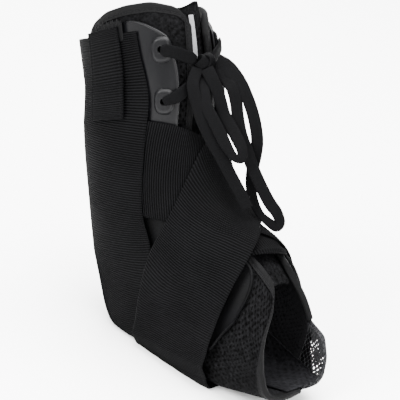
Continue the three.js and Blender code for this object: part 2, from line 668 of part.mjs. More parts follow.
const knotShape = new THREE.SphereGeometry(1, 10, 6);
const knotCentre = new THREE.Vector3(KNOT.x, KNOT.y, KNOT.z);
const knot = bent(knotShape, (x, y, z) => {
  return new THREE.Vector3(x * KNOT.long, y * KNOT.wide, z * KNOT.tall).add(knotCentre);
});
add("lace_knot", knot, materials.lace);

// The place just outside the knot on the line from its centre to a point.
function atKnot(point) {
  const way = point.clone().sub(knotCentre);
  const share = Math.hypot(way.x / KNOT.long, way.y / KNOT.wide, way.z / KNOT.tall);
  return way.setLength(way.length() / share + SEAM).add(knotCentre);
}

const laceFace = new THREE.Vector3(LACE_FACE.x, LACE_FACE.y, LACE_FACE.z);
for (const { name, steps, points, tapers, loop } of FREE_LACES) {
  const route = points.map(([x, y, z]) => new THREE.Vector3(x, y, z));
  route[0] = atKnot(route[0]);
  if (loop) route.push(atKnot(route.pop()));
  add(name, lace(route, laceFace, steps, tapers), materials.lace);
}

// Lace runs from the eyelets to the knot and straight across, lying on the form.
const eyeletTop = ON_PAD + SHELL + SEAM + EYELET_THICKNESS;
const aboveEyelet = eyeletTop + LACE_OVER_EYELET + LACE_THICKNESS / 2;
for (const [label, side] of [["near", -1], ["far", 1]]) {
  const run = UPPER_RUN.map(({ station, turn, lift }) => {
    return onForm(station, side * turn, THREE.MathUtils.lerp(UPPER_RUN_FLOOR, aboveEyelet, lift));
  });
  const face = (z) => {
    const row = z * (UPPER_RUN.length - 1);
    const turn = spline(column(UPPER_RUN, "turn"), row);
    return outward(spline(column(UPPER_RUN, "station"), row), side * turn);
  };
  const tapers = { start: 1, tip: 1, tipAt: 0.5, end: 0.6 };
  add(`lace_upper_${label}`, lace(run, face, 6, tapers), materials.lace);
}
const across = [
  ...LOWER_RUN.map((row) => [row, -1]),
  ...LOWER_RUN.slice(0, -1).reverse().map((row) => [row, 1]),
];
const lowerRun = across.map(([{ station, turn, lift }, side]) => {
  return onForm(station, side * turn, THREE.MathUtils.lerp(LOWER_RUN_FLOOR, aboveEyelet, lift));
});
const lowerFace = (z) => {
  const row = z * (across.length - 1);
  const station = spline(across.map(([r]) => r.station), row);
  return outward(station, spline(across.map(([r, side]) => r.turn * side), row));
};
const evenTapers = { start: 1, tip: 1, tipAt: 0.5, end: 1 };
add("lace_lower", lace(lowerRun, lowerFace, 14, evenTapers), materials.lace);

export default group;
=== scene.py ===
"""Lace-up ankle brace: cloth, webbing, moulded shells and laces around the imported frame."""
import logging
import math
from dataclasses import dataclass, field
from enum import Enum
from typing import Callable, Sequence

import bpy
import numpy as np
from mathutils import Matrix, Vector


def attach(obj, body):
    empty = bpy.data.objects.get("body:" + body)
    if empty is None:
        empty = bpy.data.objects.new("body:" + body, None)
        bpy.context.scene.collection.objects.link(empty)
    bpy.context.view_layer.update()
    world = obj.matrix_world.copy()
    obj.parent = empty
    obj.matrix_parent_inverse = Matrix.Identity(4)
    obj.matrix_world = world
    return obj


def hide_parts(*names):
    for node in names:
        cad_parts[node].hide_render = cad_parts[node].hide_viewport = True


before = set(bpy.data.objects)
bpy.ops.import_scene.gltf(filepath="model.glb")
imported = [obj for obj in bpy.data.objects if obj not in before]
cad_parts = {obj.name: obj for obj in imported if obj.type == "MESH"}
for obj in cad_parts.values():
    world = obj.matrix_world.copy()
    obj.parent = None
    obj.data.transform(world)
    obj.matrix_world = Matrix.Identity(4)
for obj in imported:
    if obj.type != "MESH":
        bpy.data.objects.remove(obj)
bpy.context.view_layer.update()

MM = 0.001
CIRCLE = 2 * math.pi
THINNEST = 0.2  # share of a sheet's thickness that is left at its very edge
log = logging.getLogger("ankle_brace")
Array = np.ndarray
Numbers = Array | float
Piece = bpy.types.Object
Size = tuple[float, float]
Socket = bpy.types.NodeSocket
Place = Callable[[Array, Array, Array], Array]


class Side(Enum):
    """The two sides of the brace; the value is the sign of Y."""

    NEAR = -1
    FAR = 1

    @property
    def label(self) -> str:
        """The side's name as the nodes have it."""
        return self.name.lower()


def table(names: str, rows: Sequence[Sequence[float]]) -> dict[str, Array]:
    """Turn rows of numbers into named columns.

    Args:
        names: the column names, parted by spaces.
        rows: the rows, in the order of the names.

    Returns:
        One array for each name.
    """
    return dict(zip(names.split(), np.array(rows, float).T))


def spline(values: Array, at: Array) -> Array:
    """Read a smooth curve through a column at fractional row numbers.

    Args:
        values: the column.
        at: row numbers, whole or fractional.

    Returns:
        The curve's values.
    """
    last = len(values) - 1
    padded = np.concatenate([[2 * values[0] - values[1]], values, [2 * values[-1] - values[-2]]])
    i = np.clip(np.floor(at).astype(int), 0, last - 1)
    f = at - i
    a, b, c, d = (padded[i + k] for k in range(4))
    quadratic = 2 * a - 5 * b + 4 * c - d
    cubic = 3 * b - a - 3 * c + d
    return 0.5 * (2 * b + (c - a) * f + quadratic * f ** 2 + cubic * f ** 3)


def mix(a: Numbers, b: Numbers, f: Numbers) -> Numbers:
    """Blend from a to b by the share f."""
    return a + (b - a) * f


def smooth(low: float, high: float, x: Array) -> Array:
    """Rise smoothly from 0 at low to 1 at high."""
    f = np.clip((x - low) / (high - low), 0, 1)
    return f * f * (3 - 2 * f)


def rounded_lookup(x: Array, columns: dict[str, Array], reach: float) -> Array:
    """Read a table of two columns with its corners rounded.

    Args:
        x: where to read it.
        columns: the table.
        reach: how far each way the values are averaged.

    Returns:
        One value for each place.
    """
    xs, values = columns.values()
    shifts = np.linspace(-reach, reach, 9)
    inside = [np.interp(np.clip(x + s, xs[0], xs[-1]), xs, values) for s in shifts]
    return np.mean(inside, axis=0)


def dense_ends(share: Array, strength: float = 0.8) -> Array:
    """Crowd evenly spaced shares towards 0 and 1, where a sheet's edge is rounded."""
    return share - strength * np.sin(CIRCLE * share) / CIRCLE


def read_rows(columns: dict[str, Array], at: Array) -> list[Array]:
    """Read every column of a table smoothly at fractional row numbers."""
    return [spline(values, at) for values in columns.values()]


def read_share(columns: dict[str, Array], share: Array) -> list[Array]:
    """Read every column of a table smoothly at shares of the way down it."""
    return read_rows(columns, share * (len(next(iter(columns.values()))) - 1))


def lookup(x: Array, columns: dict[str, Array]) -> Array:
    """Read a table of two columns at places in its first one."""
    return np.interp(x, *columns.values())


def ridge(x: Array, middle: Numbers, width: float) -> Array:
    """Give a soft ridge, 1 high."""
    return np.exp(-(((x - middle) / width) ** 2))


def power(wave: Array, exponent: float) -> Array:
    """Raise a sine or cosine to a power and keep its sign, to square a circle's corners."""
    return np.sign(wave) * np.abs(wave) ** exponent


def unit(vectors: Array) -> Array:
    """Give each row the length 1."""
    return vectors / np.linalg.norm(vectors, axis=-1, keepdims=True)


def run_length(points: Array) -> Array:
    """Measure the way along points up to each of them."""
    return np.concatenate([[0], np.cumsum(np.linalg.norm(np.diff(points, axis=0), axis=1))])


def resample(at: Array, places: Array, rows: Array) -> Array:
    """Read rows of three numbers at other places, on straight lines between them."""
    return np.stack([np.interp(at, places, rows[:, k]) for k in range(3)], axis=1)


def lumps(points: Array, size: float, seed: int) -> Array:
    """Give smooth uneven values from -1 to 1 over points.

    Args:
        points: places in mm.
        size: rough distance between lumps in mm.
        seed: which pattern.

    Returns:
        One value for each point.
    """
    random = np.random.default_rng(seed)
    total = np.zeros(len(points))
    for _ in range(9):
        way = random.normal(size=3)
        way *= 2 * math.pi / size * random.uniform(0.6, 1.5) / np.linalg.norm(way)
        total += np.sin(points @ way + random.uniform(0, 2 * math.pi))
    return total / 4.5


@dataclass(frozen=True)
class Layers:
    """Thicknesses of the layers, in mm, and the heights at which they lie on the form."""

    pad: float = 3.5
    binding_width: float = 6.0
    binding_rise: float = 0.25
    shell: float = 1.8
    webbing: float = 1.6
    clearance: float = 0.6
    seam: float = 0.3

    @property
    def on_pad(self) -> float:
        """Height of what lies on the padding."""
        return self.pad + self.clearance

    @property
    def on_shell(self) -> float:
        """Height of what lies on a shell."""
        return self.on_pad + self.shell + self.clearance

    @property
    def layer(self) -> float:
        """Height that one strap adds."""
        return self.webbing + self.clearance

    @property
    def sole_lift(self) -> float:
        """Height of the form's inner surface above the floor."""
        return self.on_pad + self.layer + self.webbing


LAYERS = Layers()


@dataclass(frozen=True)
class Form:
    """The foot-shaped form that every piece is bent over.

    A station is a row number of the sections, from collar to toe. A turn runs round a section:
    0 is the middle of the front, 1 and -1 the middle of the back and sole.
    """

    foot_length: float = 150.0
    brace_height: float = 245.0
    half_width: float = 30.0
    front_roundness: float = 2.15
    widest_share: float = 0.48
    sections: dict[str, Array] = field(default_factory=lambda: table(
        "front_x front_z back_x back_z near far square",
        [
            (-0.39, 1.0, -0.91, 0.805, 0.9, 0.78, 2.3),
            (-0.31, 0.905, -0.85, 0.735, 0.93, 0.8, 2.3),
            (-0.245, 0.81, -0.79, 0.64, 0.97, 0.84, 2.3),
            (-0.19, 0.7, -0.74, 0.545, 1.0, 0.88, 2.3),
            (-0.15, 0.58, -0.685, 0.445, 1.02, 0.92, 2.3),
            (-0.07, 0.485, -0.63, 0.34, 1.02, 0.95, 2.3),
            (0.055, 0.415, -0.575, 0.225, 1.0, 0.93, 2.4),
            (0.18, 0.385, -0.495, 0.105, 0.98, 0.9, 2.8),
            (0.29, 0.375, -0.36, -0.01, 0.97, 0.88, 4.0),
            (0.38, 0.353, -0.14, -0.015, 0.97, 0.87, 5.0),
            (0.447, 0.318, 0.093, -0.01, 1.03, 0.87, 5.0),
            (0.507, 0.278, 0.32, 0.01, 1.1, 0.87, 5.0),
            (0.553, 0.237, 0.507, 0.04, 1.13, 0.83, 4.2),
            (0.593, 0.204, 0.667, 0.065, 1.13, 0.8, 3.6),
        ],
    ))

    def inner(self, station: Array, turn: Array) -> Array:
        """Find points on the form's inner surface.

        Args:
            station: stations of the points.
            turn: turns of the points.

        Returns:
            The points, one row each, in mm.
        """
        front_x, front_z, back_x, back_z, near, far, square = read_rows(self.sections, station)
        cosine, sine = np.cos(math.pi * turn), np.sin(math.pi * turn)
        exponent = np.where(cosine > 0, self.front_roundness, square)
        reach = (np.abs(cosine) ** exponent + np.abs(sine) ** exponent) ** (-1 / exponent)
        along = cosine * reach
        x, z = (
            mix(mix(b, f, self.widest_share), np.where(along > 0, f, b), np.abs(along))
            for f, b in (
                (front_x * self.foot_length, back_x * self.foot_length),
                (front_z * self.brace_height, back_z * self.brace_height),
            )
        )
        width = np.where(sine > 0, far, near) * self.half_width
        return np.stack([x, width * sine * reach, z], axis=-1)

    def outward(self, station: Array, turn: Array) -> Array:
        """Find the outward direction of the form at points."""
        down = self.inner(station + 0.02, turn) - self.inner(station - 0.02, turn)
        around = self.inner(station, turn + 0.004) - self.inner(station, turn - 0.004)
        return unit(np.cross(down, around))

    def at(
        self, station: Array, turn: Array, height: Numbers, floor: Numbers | None = None
    ) -> Array:
        """Find points at a height above the inner surface, flattened at the floor.

        Args:
            station: stations of the points.
            turn: turns of the points.
            height: heights above the inner surface in mm.
            floor: lowest z that a point may have; None for what the layers leave.

        Returns:
            The points, one row each, in mm.
        """
        station, turn, height = np.broadcast_arrays(station, turn, height)
        point = self.inner(station, turn) + self.outward(station, turn) * height[..., None]
        lowest = LAYERS.sole_lift - height if floor is None else floor
        point[..., 2] = np.maximum(point[..., 2], lowest)
        return point


FORM = Form()


def pick(*pieces: Piece) -> None:
    """Select these pieces and nothing else, with the first one active."""
    for thing in bpy.context.selected_objects:
        thing.select_set(False)
    for piece in pieces:
        piece.select_set(True)
    if pieces:
        bpy.context.view_layer.objects.active = pieces[0]


def read_points(mesh: bpy.types.Mesh) -> Array:
    """Read a mesh's vertices."""
    flat = np.empty(len(mesh.vertices) * 3)
    mesh.vertices.foreach_get("co", flat)
    return flat.reshape(-1, 3)


def write_points(mesh: bpy.types.Mesh, points: Array) -> None:
    """Write a mesh's vertices."""
    mesh.vertices.foreach_set("co", np.ascontiguousarray(points, dtype=float).ravel())
    mesh.update()


def face_outward(piece: Piece) -> None:
    """Flip the faces of a closed piece if its volume comes out negative.

    Args:
        piece: the object.
    """
    mesh = piece.data
    mesh.calc_loop_triangles()
    index = np.empty(len(mesh.loop_triangles) * 3, int)
    mesh.loop_triangles.foreach_get("vertices", index)
    a, b, c = (read_points(mesh)[index.reshape(-1, 3)[:, k]] for k in range(3))
    if np.einsum("ij,ij->", a, np.cross(b, c)) < 0:
        mesh.flip_normals()


def edit(piece: Piece, *steps: Callable[[], object], whole: bool = True) -> None:
    """Run edit-mode operators on a piece.

    Args:
        piece: the object.
        steps: calls to make in edit mode, in order.
        whole: whether all of it is selected first.
    """
    pick(piece)
    bpy.ops.object.mode_set(mode="EDIT")
    if whole:
        bpy.ops.mesh.select_all(action="SELECT")
    for step in steps:
        step()
    bpy.ops.object.mode_set(mode="OBJECT")


def modify(piece: Piece, kind: str, **settings: object) -> None:
    """Add a modifier of a kind with its settings, and apply it.

    Args:
        piece: the object.
        kind: the modifier's type.
        settings: its settings.
    """
    pick(piece)
    modifier = piece.modifiers.new(kind.title(), kind)
    for name, value in settings.items():
        setattr(modifier, name, value)
    bpy.ops.object.modifier_apply(modifier=modifier.name)


def join(name: str, pieces: Sequence[Piece]) -> Piece:
    """Join pieces into one mesh of that name.

    Args:
        name: the joined piece's name.
        pieces: the objects, the first of which stays.

    Returns:
        The joined object.
    """
    pick(*pieces)
    bpy.ops.object.join()
    joined = bpy.context.object
    joined.name = joined.data.name = name
    return joined


def add_grid(name: str, across: int, along: int) -> Piece:
    """Add a flat grid from 0 to 1 in x and y, with a UV map.

    Args:
        name: the piece's name.
        across: facets across it.
        along: facets along it.

    Returns:
        The object.
    """
    pick()
    bpy.ops.mesh.primitive_grid_add(
        x_subdivisions=across, y_subdivisions=along, size=1, calc_uvs=True, location=(0.5, 0.5, 0)
    )
    piece = bpy.context.object
    piece.name = piece.data.name = name
    bpy.ops.object.transform_apply(location=True, rotation=False, scale=False)
    return piece


def read_uv(piece: Piece) -> Array:
    """Read a piece's UV map.

    Args:
        piece: the object.

    Returns:
        One row for each corner of its faces.
    """
    layer = piece.data.uv_layers.active.data
    flat = np.empty(len(layer) * 2)
    layer.foreach_get("uv", flat)
    return flat.reshape(-1, 2)


def scale_uv(piece: Piece, wide: float, long: float) -> None:
    """Give the UV map real lengths, in metres, for a piece of that width and length in mm."""
    flat = read_uv(piece) * (wide * MM, long * MM)
    piece.data.uv_layers.active.data.foreach_set("uv", flat.ravel())


def smooth_shade(piece: Piece, degrees: float = 40) -> None:
    """Shade a piece smoothly up to an angle."""
    pick(piece)
    bpy.ops.object.shade_smooth_by_angle(angle=math.radians(degrees))


def bent_sheet(name: str, across: int, along: int, size: Size, place: Place) -> Piece:
    """Make a closed sheet and bend it over the form.

    Args:
        name: the piece's name.
        across: facets across it.
        along: facets along it.
        size: its width and length in mm, for the UV map.
        place: gives points in mm for shares across, along and through it.

    Returns:
        The finished object.
    """
    piece = add_grid(name, across, along)
    modify(piece, "SOLIDIFY", thickness=0.01, offset=-1.0)
    co = read_points(piece.data)
    through = (co[:, 2] > -0.005).astype(float)
    write_points(piece.data, place(co[:, 0], co[:, 1], through) * MM)
    scale_uv(piece, *size)
    face_outward(piece)
    smooth_shade(piece)
    return piece


def inset(u: Array, v: Array, size: Size) -> Array:
    """Measure how far places on a sheet of a size in mm are from its nearest edge."""
    return np.minimum(np.minimum(u, 1 - u) * size[0], np.minimum(v, 1 - v) * size[1])


def rounded(u: Array, v: Array, w: Array, size: Size, radius: float) -> Array:
    """Draw a sheet's two faces together near its edges, so that they are round.

    Args:
        u: shares across.
        v: shares along.
        w: shares through, 0 or 1.
        size: the sheet's width and length in mm.
        radius: radius of the edge in mm.

    Returns:
        Shares through, nearer to the middle at the edges.
    """
    part = np.clip(1 - inset(u, v, size) / radius, 0, 1)
    return 0.5 + (w - 0.5) * np.sqrt(np.maximum(1 - part ** 2, THINNEST ** 2))


def add_attribute(piece: Piece, name: str, values: Array) -> None:
    """Store one number for each vertex, for a material to read."""
    layer = piece.data.attributes.new(name, "FLOAT", "POINT")
    layer.data.foreach_set("value", np.ascontiguousarray(values, dtype=np.float32))


def placed(x: Vector, y: Vector, z: Vector, at: Vector) -> Matrix:
    """Give the place of something from its three directions and its middle."""
    return Matrix.Translation(at) @ Matrix((x, y, z)).transposed().to_4x4()


def copies(name: str, template: Piece, frames: Sequence[Matrix]) -> Piece:
    """Copy a small piece to many places and join the copies into one mesh.

    Args:
        name: the joined piece's name.
        template: the small piece; it is removed.
        frames: one place for each copy.

    Returns:
        The joined object.
    """
    made = []
    for place in frames:
        mesh = template.data.copy()
        mesh.transform(place)
        made.append(bpy.data.objects.new(name, mesh))
        bpy.context.collection.objects.link(made[-1])
    joined = join(name, made)
    bpy.data.objects.remove(template)
    return joined


def colour(code: str) -> tuple[float, float, float, float]:
    """Turn an sRGB hex colour such as #2a2a2c into linear RGBA."""
    parts = [int(code[i:i + 2], 16) / 255 for i in (1, 3, 5)]
    linear = [p / 12.92 if p <= 0.04045 else ((p + 0.055) / 1.055) ** 2.4 for p in parts]
    return (*linear, 1.0)


@dataclass
class Graph:
    """A material's nodes."""

    tree: bpy.types.NodeTree

    def add(self, kind: str, *inputs: object, **settings: object) -> bpy.types.Node:
        """Add a node with its settings and links.

        Args:
            kind: the node's type; for a Math node, its operation after a stop, as in "Math.SINE".
            inputs: what goes into its inputs: a value, a socket, or a node for its first output,
                in order, or one dictionary of them by the inputs' names or numbers.
            settings: the node's own settings.

        Returns:
            The node.
        """
        kind, _, operation = kind.partition(".")
        node = self.tree.nodes.new("ShaderNode" + kind)
        if operation:
            node.operation = operation
        for name, value in settings.items():
            setattr(node, name, value)
        by_name = inputs[0] if inputs and isinstance(inputs[0], dict) else dict(enumerate(inputs))
        for key, value in by_name.items():
            if isinstance(value, bpy.types.Node):
                value = value.outputs[0]
            if isinstance(value, Socket):
                self.tree.links.new(value, node.inputs[key])
            else:
                node.inputs[key].default_value = value
        return node

    def wave(self, value: Socket, pitch: float) -> bpy.types.Node:
        """Give a sine from -1 to 1 along a length in metres, with a pitch in mm."""
        return self.add("Math.SINE", self.add("Math.MULTIPLY", value, CIRCLE / (pitch * MM)))

    def grain(self, size: float, detail: float = 4.0, stretch: tuple = (1, 1, 1)) -> Socket:
        """Give noise from 0 to 1 whose spots are about size mm across.

        Args:
            size: size of the spots in mm.
            detail: how much finer it goes.
            stretch: scale along each axis.

        Returns:
            The noise.
        """
        where = self.add("TexCoord").outputs["Object"]
        where = self.add("Mapping", {"Vector": where, "Scale": stretch})
        look = {"Vector": where, "Scale": 0.5 / (size * MM), "Detail": detail, "Roughness": 0.6}
        return self.add("TexNoise", look).outputs["Fac"]

    def lengths(self) -> tuple[Socket, Socket]:
        """Give the piece's own lengths across and along, in metres."""
        parts = self.add("SeparateXYZ", self.add("UVMap", uv_map="UVMap"))
        return parts.outputs[0], parts.outputs[1]

    def weave(self, relief: Sequence, *tones: Sequence) -> tuple:
        """Sum a relief and a colour share.

        Args:
            relief: pairs of a signal and its weight.
            tones: the same for the colour share, or a bare number to add.

        Returns:
            The relief, and the share between 0 and 1.
        """
        return self.total(relief), self.add("Clamp", self.total(tones))

    def total(self, terms: Sequence) -> bpy.types.Node:
        """Sum signals by their weights, and bare numbers.

        Args:
            terms: pairs of a signal and its weight, and bare numbers.

        Returns:
            The sum.
        """
        numbers = [t for t in terms if isinstance(t, float)]
        pairs = [t for t in terms if not isinstance(t, float)]
        result = sum(numbers)
        for signal, weight in pairs:
            result = self.add("Math.MULTIPLY_ADD", signal, weight, result)
        return result


@dataclass(frozen=True)
class Finish:
    """What every finish shares: colours, roughness, how deep its relief is in mm, and gloss."""

    name: str
    dark: str
    light: str
    roughness: float
    depth: float
    gloss: float
    ior: float = 1.5

    def pattern(self, graph: Graph) -> tuple:
        """Give the relief and the colour share, both about 0 to 1."""
        raise NotImplementedError

    def material(self) -> bpy.types.Material:
        """Build the material, or find it if it is built."""
        made = bpy.data.materials.get(self.name)
        if made:
            return made
        made = bpy.data.materials.new(self.name)
        made.use_nodes = True
        made.node_tree.nodes.clear()
        graph = Graph(made.node_tree)
        relief, share = self.pattern(graph)
        tones = {"Factor": share, 6: colour(self.dark), 7: colour(self.light)}
        bump = {"Height": relief, "Strength": 1.0, "Distance": self.depth * MM}
        surface = graph.add("BsdfPrincipled", {
            "Base Color": graph.add("Mix", tones, data_type="RGBA").outputs[2],
            "Roughness": self.roughness,
            "IOR": self.ior,
            "Specular IOR Level": self.gloss,
            "Normal": graph.add("Bump", bump),
        })
        graph.add("OutputMaterial", surface)
        return made


@dataclass(frozen=True)
class RibbedWebbing(Finish):
    """Polyester webbing, woven with a cord in each rib: dull, with painted shade in the grooves and
    painted highlights on the ribs.
    """

    rib: float = 1.6
    yarn: float = 0.9  # real yarns lie 0.4 mm apart, too fine to show

    def pattern(self, graph: Graph) -> tuple:
        """Ribs across the strap, crossed by fine yarns, with lint and wear, and painted shade in the
        grooves between the ribs.

        Args:
            graph: the material's nodes.

        Returns:
            The relief and the colour share.
        """
        across, along = graph.lengths()
        rib, yarn = graph.wave(along, self.rib), graph.wave(across, self.yarn)
        lint, worn = graph.grain(0.6, 5.0), graph.grain(14.0, 3.0)
        relief = (rib, 0.35), (yarn, 0.1), (lint, 1.0)
        # The rib term in the colour is painted light: painted highlights on the ribs and painted
        # shade in the grooves.
        return graph.weave(relief, (rib, 0.42), (lint, 0.4), (worn, 0.5), -0.08)


@dataclass(frozen=True)
class PaddedCloth(Finish):
    """Foam-backed knit: brushed loops where "loop" is 1, and perforated spacer mesh elsewhere."""

    hole_pitch: float = 5.2

    def pattern(self, graph: Graph) -> tuple:
        """Mix the fuzz of the loops with staggered dimples, with painted shade in them; the inner
        face is painted lighter, as painted light inside the brace.

        Args:
            graph: the material's nodes.

        Returns:
            The relief and the colour share.
        """
        wander = graph.add("Math.MULTIPLY", graph.grain(5.0, 2.0), 0.003)
        sideways, lengthways = (
            graph.wave(graph.add("Math.ADD", length, wander), pitch)
            for length, pitch in zip(graph.lengths(), (self.hole_pitch, self.hole_pitch * 1.1))
        )
        product = graph.add("Math.MULTIPLY", sideways, lengthways)
        loop, lining = (
            graph.add("Attribute", attribute_name=name).outputs["Fac"] for name in ("loop", "lining")
        )
        # The dimples are also drawn darker in the colour below: painted shade in each hollow.
        dimple = graph.add(
            "Math.MULTIPLY",
            graph.add("MapRange", product, 0.25, 0.75),
            graph.add("Math.SUBTRACT", 1.0, loop),
        )
        fluff = graph.total([(loop, 0.9), 0.25])
        fuzz, patch = graph.grain(1.1, 8.0), graph.grain(5.0, 4.0)
        relief = (fuzz, fluff), (dimple, -0.8)
        # In the colour, the lining term is painted light on the inner face.
        tones = (fuzz, 2.0), (patch, 0.6), (dimple, -0.35), (lining, 0.7)
        return graph.weave(relief, *tones, -0.95)


@dataclass(frozen=True)
class WovenTape(Finish):
    """Plain woven tape, folded over an edge or cut as a tab: two sets of threads, and fuzz."""

    thread: float = 1.1  # real threads lie 0.5 mm apart, too fine to show

    def pattern(self, graph: Graph) -> tuple:
        """Cross two sets of threads and add fuzz.

        Args:
            graph: the material's nodes.

        Returns:
            The relief and the colour share.
        """
        across, along = (graph.wave(length, self.thread) for length in graph.lengths())
        threads = graph.add("Math.MULTIPLY", across, along)
        fuzz = graph.grain(0.7, 6.0)
        return graph.weave([(threads, 0.3), (fuzz, 1.0)], (threads, 0.2), (fuzz, 0.8))


@dataclass(frozen=True)
class BraidedLace(Finish):
    """Flat braided lace: two sets of strands that meet in the middle of each face."""

    strand: float = 1.3  # a real braid's strands are 0.8 mm apart, too fine to show
    girth: float = 15.5

    def pattern(self, graph: Graph) -> tuple:
        """Slant the strands both ways from the middle line.

        Args:
            graph: the material's nodes.

        Returns:
            The relief and the colour share.
        """
        around, along = graph.lengths()
        folded = graph.add("Math.PINGPONG", around, self.girth * MM / 4)
        strand = graph.wave(graph.add("Math.MULTIPLY_ADD", folded, 0.9, along), self.strand)
        fuzz = graph.grain(0.6, 6.0)
        return graph.weave([(strand, 0.35), (fuzz, 1.0)], (strand, 0.2), (fuzz, 0.9))


@dataclass(frozen=True)
class MouldedShell(Finish):
    """Injection-moulded polypropylene with a satin tool texture and broad faint streaks."""

    def pattern(self, graph: Graph) -> tuple:
        """Give a fine even grain, and broad faint upright streaks that vary the colour and the
        relief.
        """
        texture, streak = graph.grain(0.35, 3.0), graph.grain(6.0, 5.0, (1.0, 1.0, 0.25))
        relief = graph.total([(streak, 0.6), (texture, 0.5)])
        return relief, graph.add("MapRange", streak, 0.3, 0.7)


# Dyed black polyester, with painted highlights on the ribs and painted shade in the grooves.
WEBBING = RibbedWebbing("ribbed polyester webbing", "#010101", "#0b0b0c", 0.7, 0.16, 0.012)
# Brushed nylon loops on foam: soft and matt, uneven in tone where the pile lies both ways.
PADDING = PaddedCloth("brushed loop and spacer cloth", "#010101", "#101011", 0.9, 0.6, 0.015)
# The same cloth, painted lighter: painted light on the sole inside the toe, where the far wall stays
# in shade.
LIT_SOLE_CLOTH = PaddedCloth("sole cloth painted lighter", "#0a0a0b", "#19191b", 0.9, 0.4, 0.02)
# Pressed flat tape is a little smoother than the cloth it binds, so its fold shows as a line.
TAPE = WovenTape("folded binding tape", "#030303", "#0a0a0b", 0.65, 0.12, 0.04)
# Bonded thread is a shade lighter than the tape, so that each stitch shows as a dash.
THREAD = WovenTape("polyester thread", "#050506", "#0c0c0d", 0.7, 0.05, 0.06)
# Soft spun strands that slant to the lace's middle line: dull, with a faint chevron.
LACE = BraidedLace("braided flat lace", "#020202", "#060607", 0.7, 0.09, 0.02)
# Open knitted cords, painted lighter than the cloth as painted light, since light reaches them from
# all sides.
NET = WovenTape("knitted net", "#151516", "#2b2b2d", 0.75, 0.15, 0.12)
# Light grey twill, the one pale place on the brace.
PATCH = WovenTape("grey woven tab", "#5c5c5e", "#78787a", 0.8, 0.08, 0.3, thread=0.9)
# Polypropylene from a fine textured mould: satin at the ankle, rubbed matt at the foot.
SHELL = MouldedShell("satin moulded polypropylene", "#020203", "#060607", 0.33, 0.06, 0.12, 1.49)
SHELL_FOOT = MouldedShell("matt moulded polypropylene", "#020202", "#050506", 0.55, 0.08, 0.03)
# The eyelets' own mould insert leaves them a little less glossy than the shell.
ISLAND = MouldedShell("satin moulded island", "#030304", "#080809", 0.42, 0.04, 0.1, 1.49)


def finish_piece(piece: Piece, finish: Finish, slot: str, *nodes: str) -> None:
    """Dress a piece, let it ride on the brace and stand for its CAD nodes.

    Args:
        piece: the object.
        finish: its finish.
        slot: not used.
        nodes: the CAD nodes that it replaces.
    """
    piece.data.materials.clear()
    piece.data.materials.append(finish.material())
    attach(piece, "root")
    if nodes:
        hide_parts(*nodes)
    log.info("%s: %d faces, %s", piece.name, len(piece.data.polygons), finish.name)


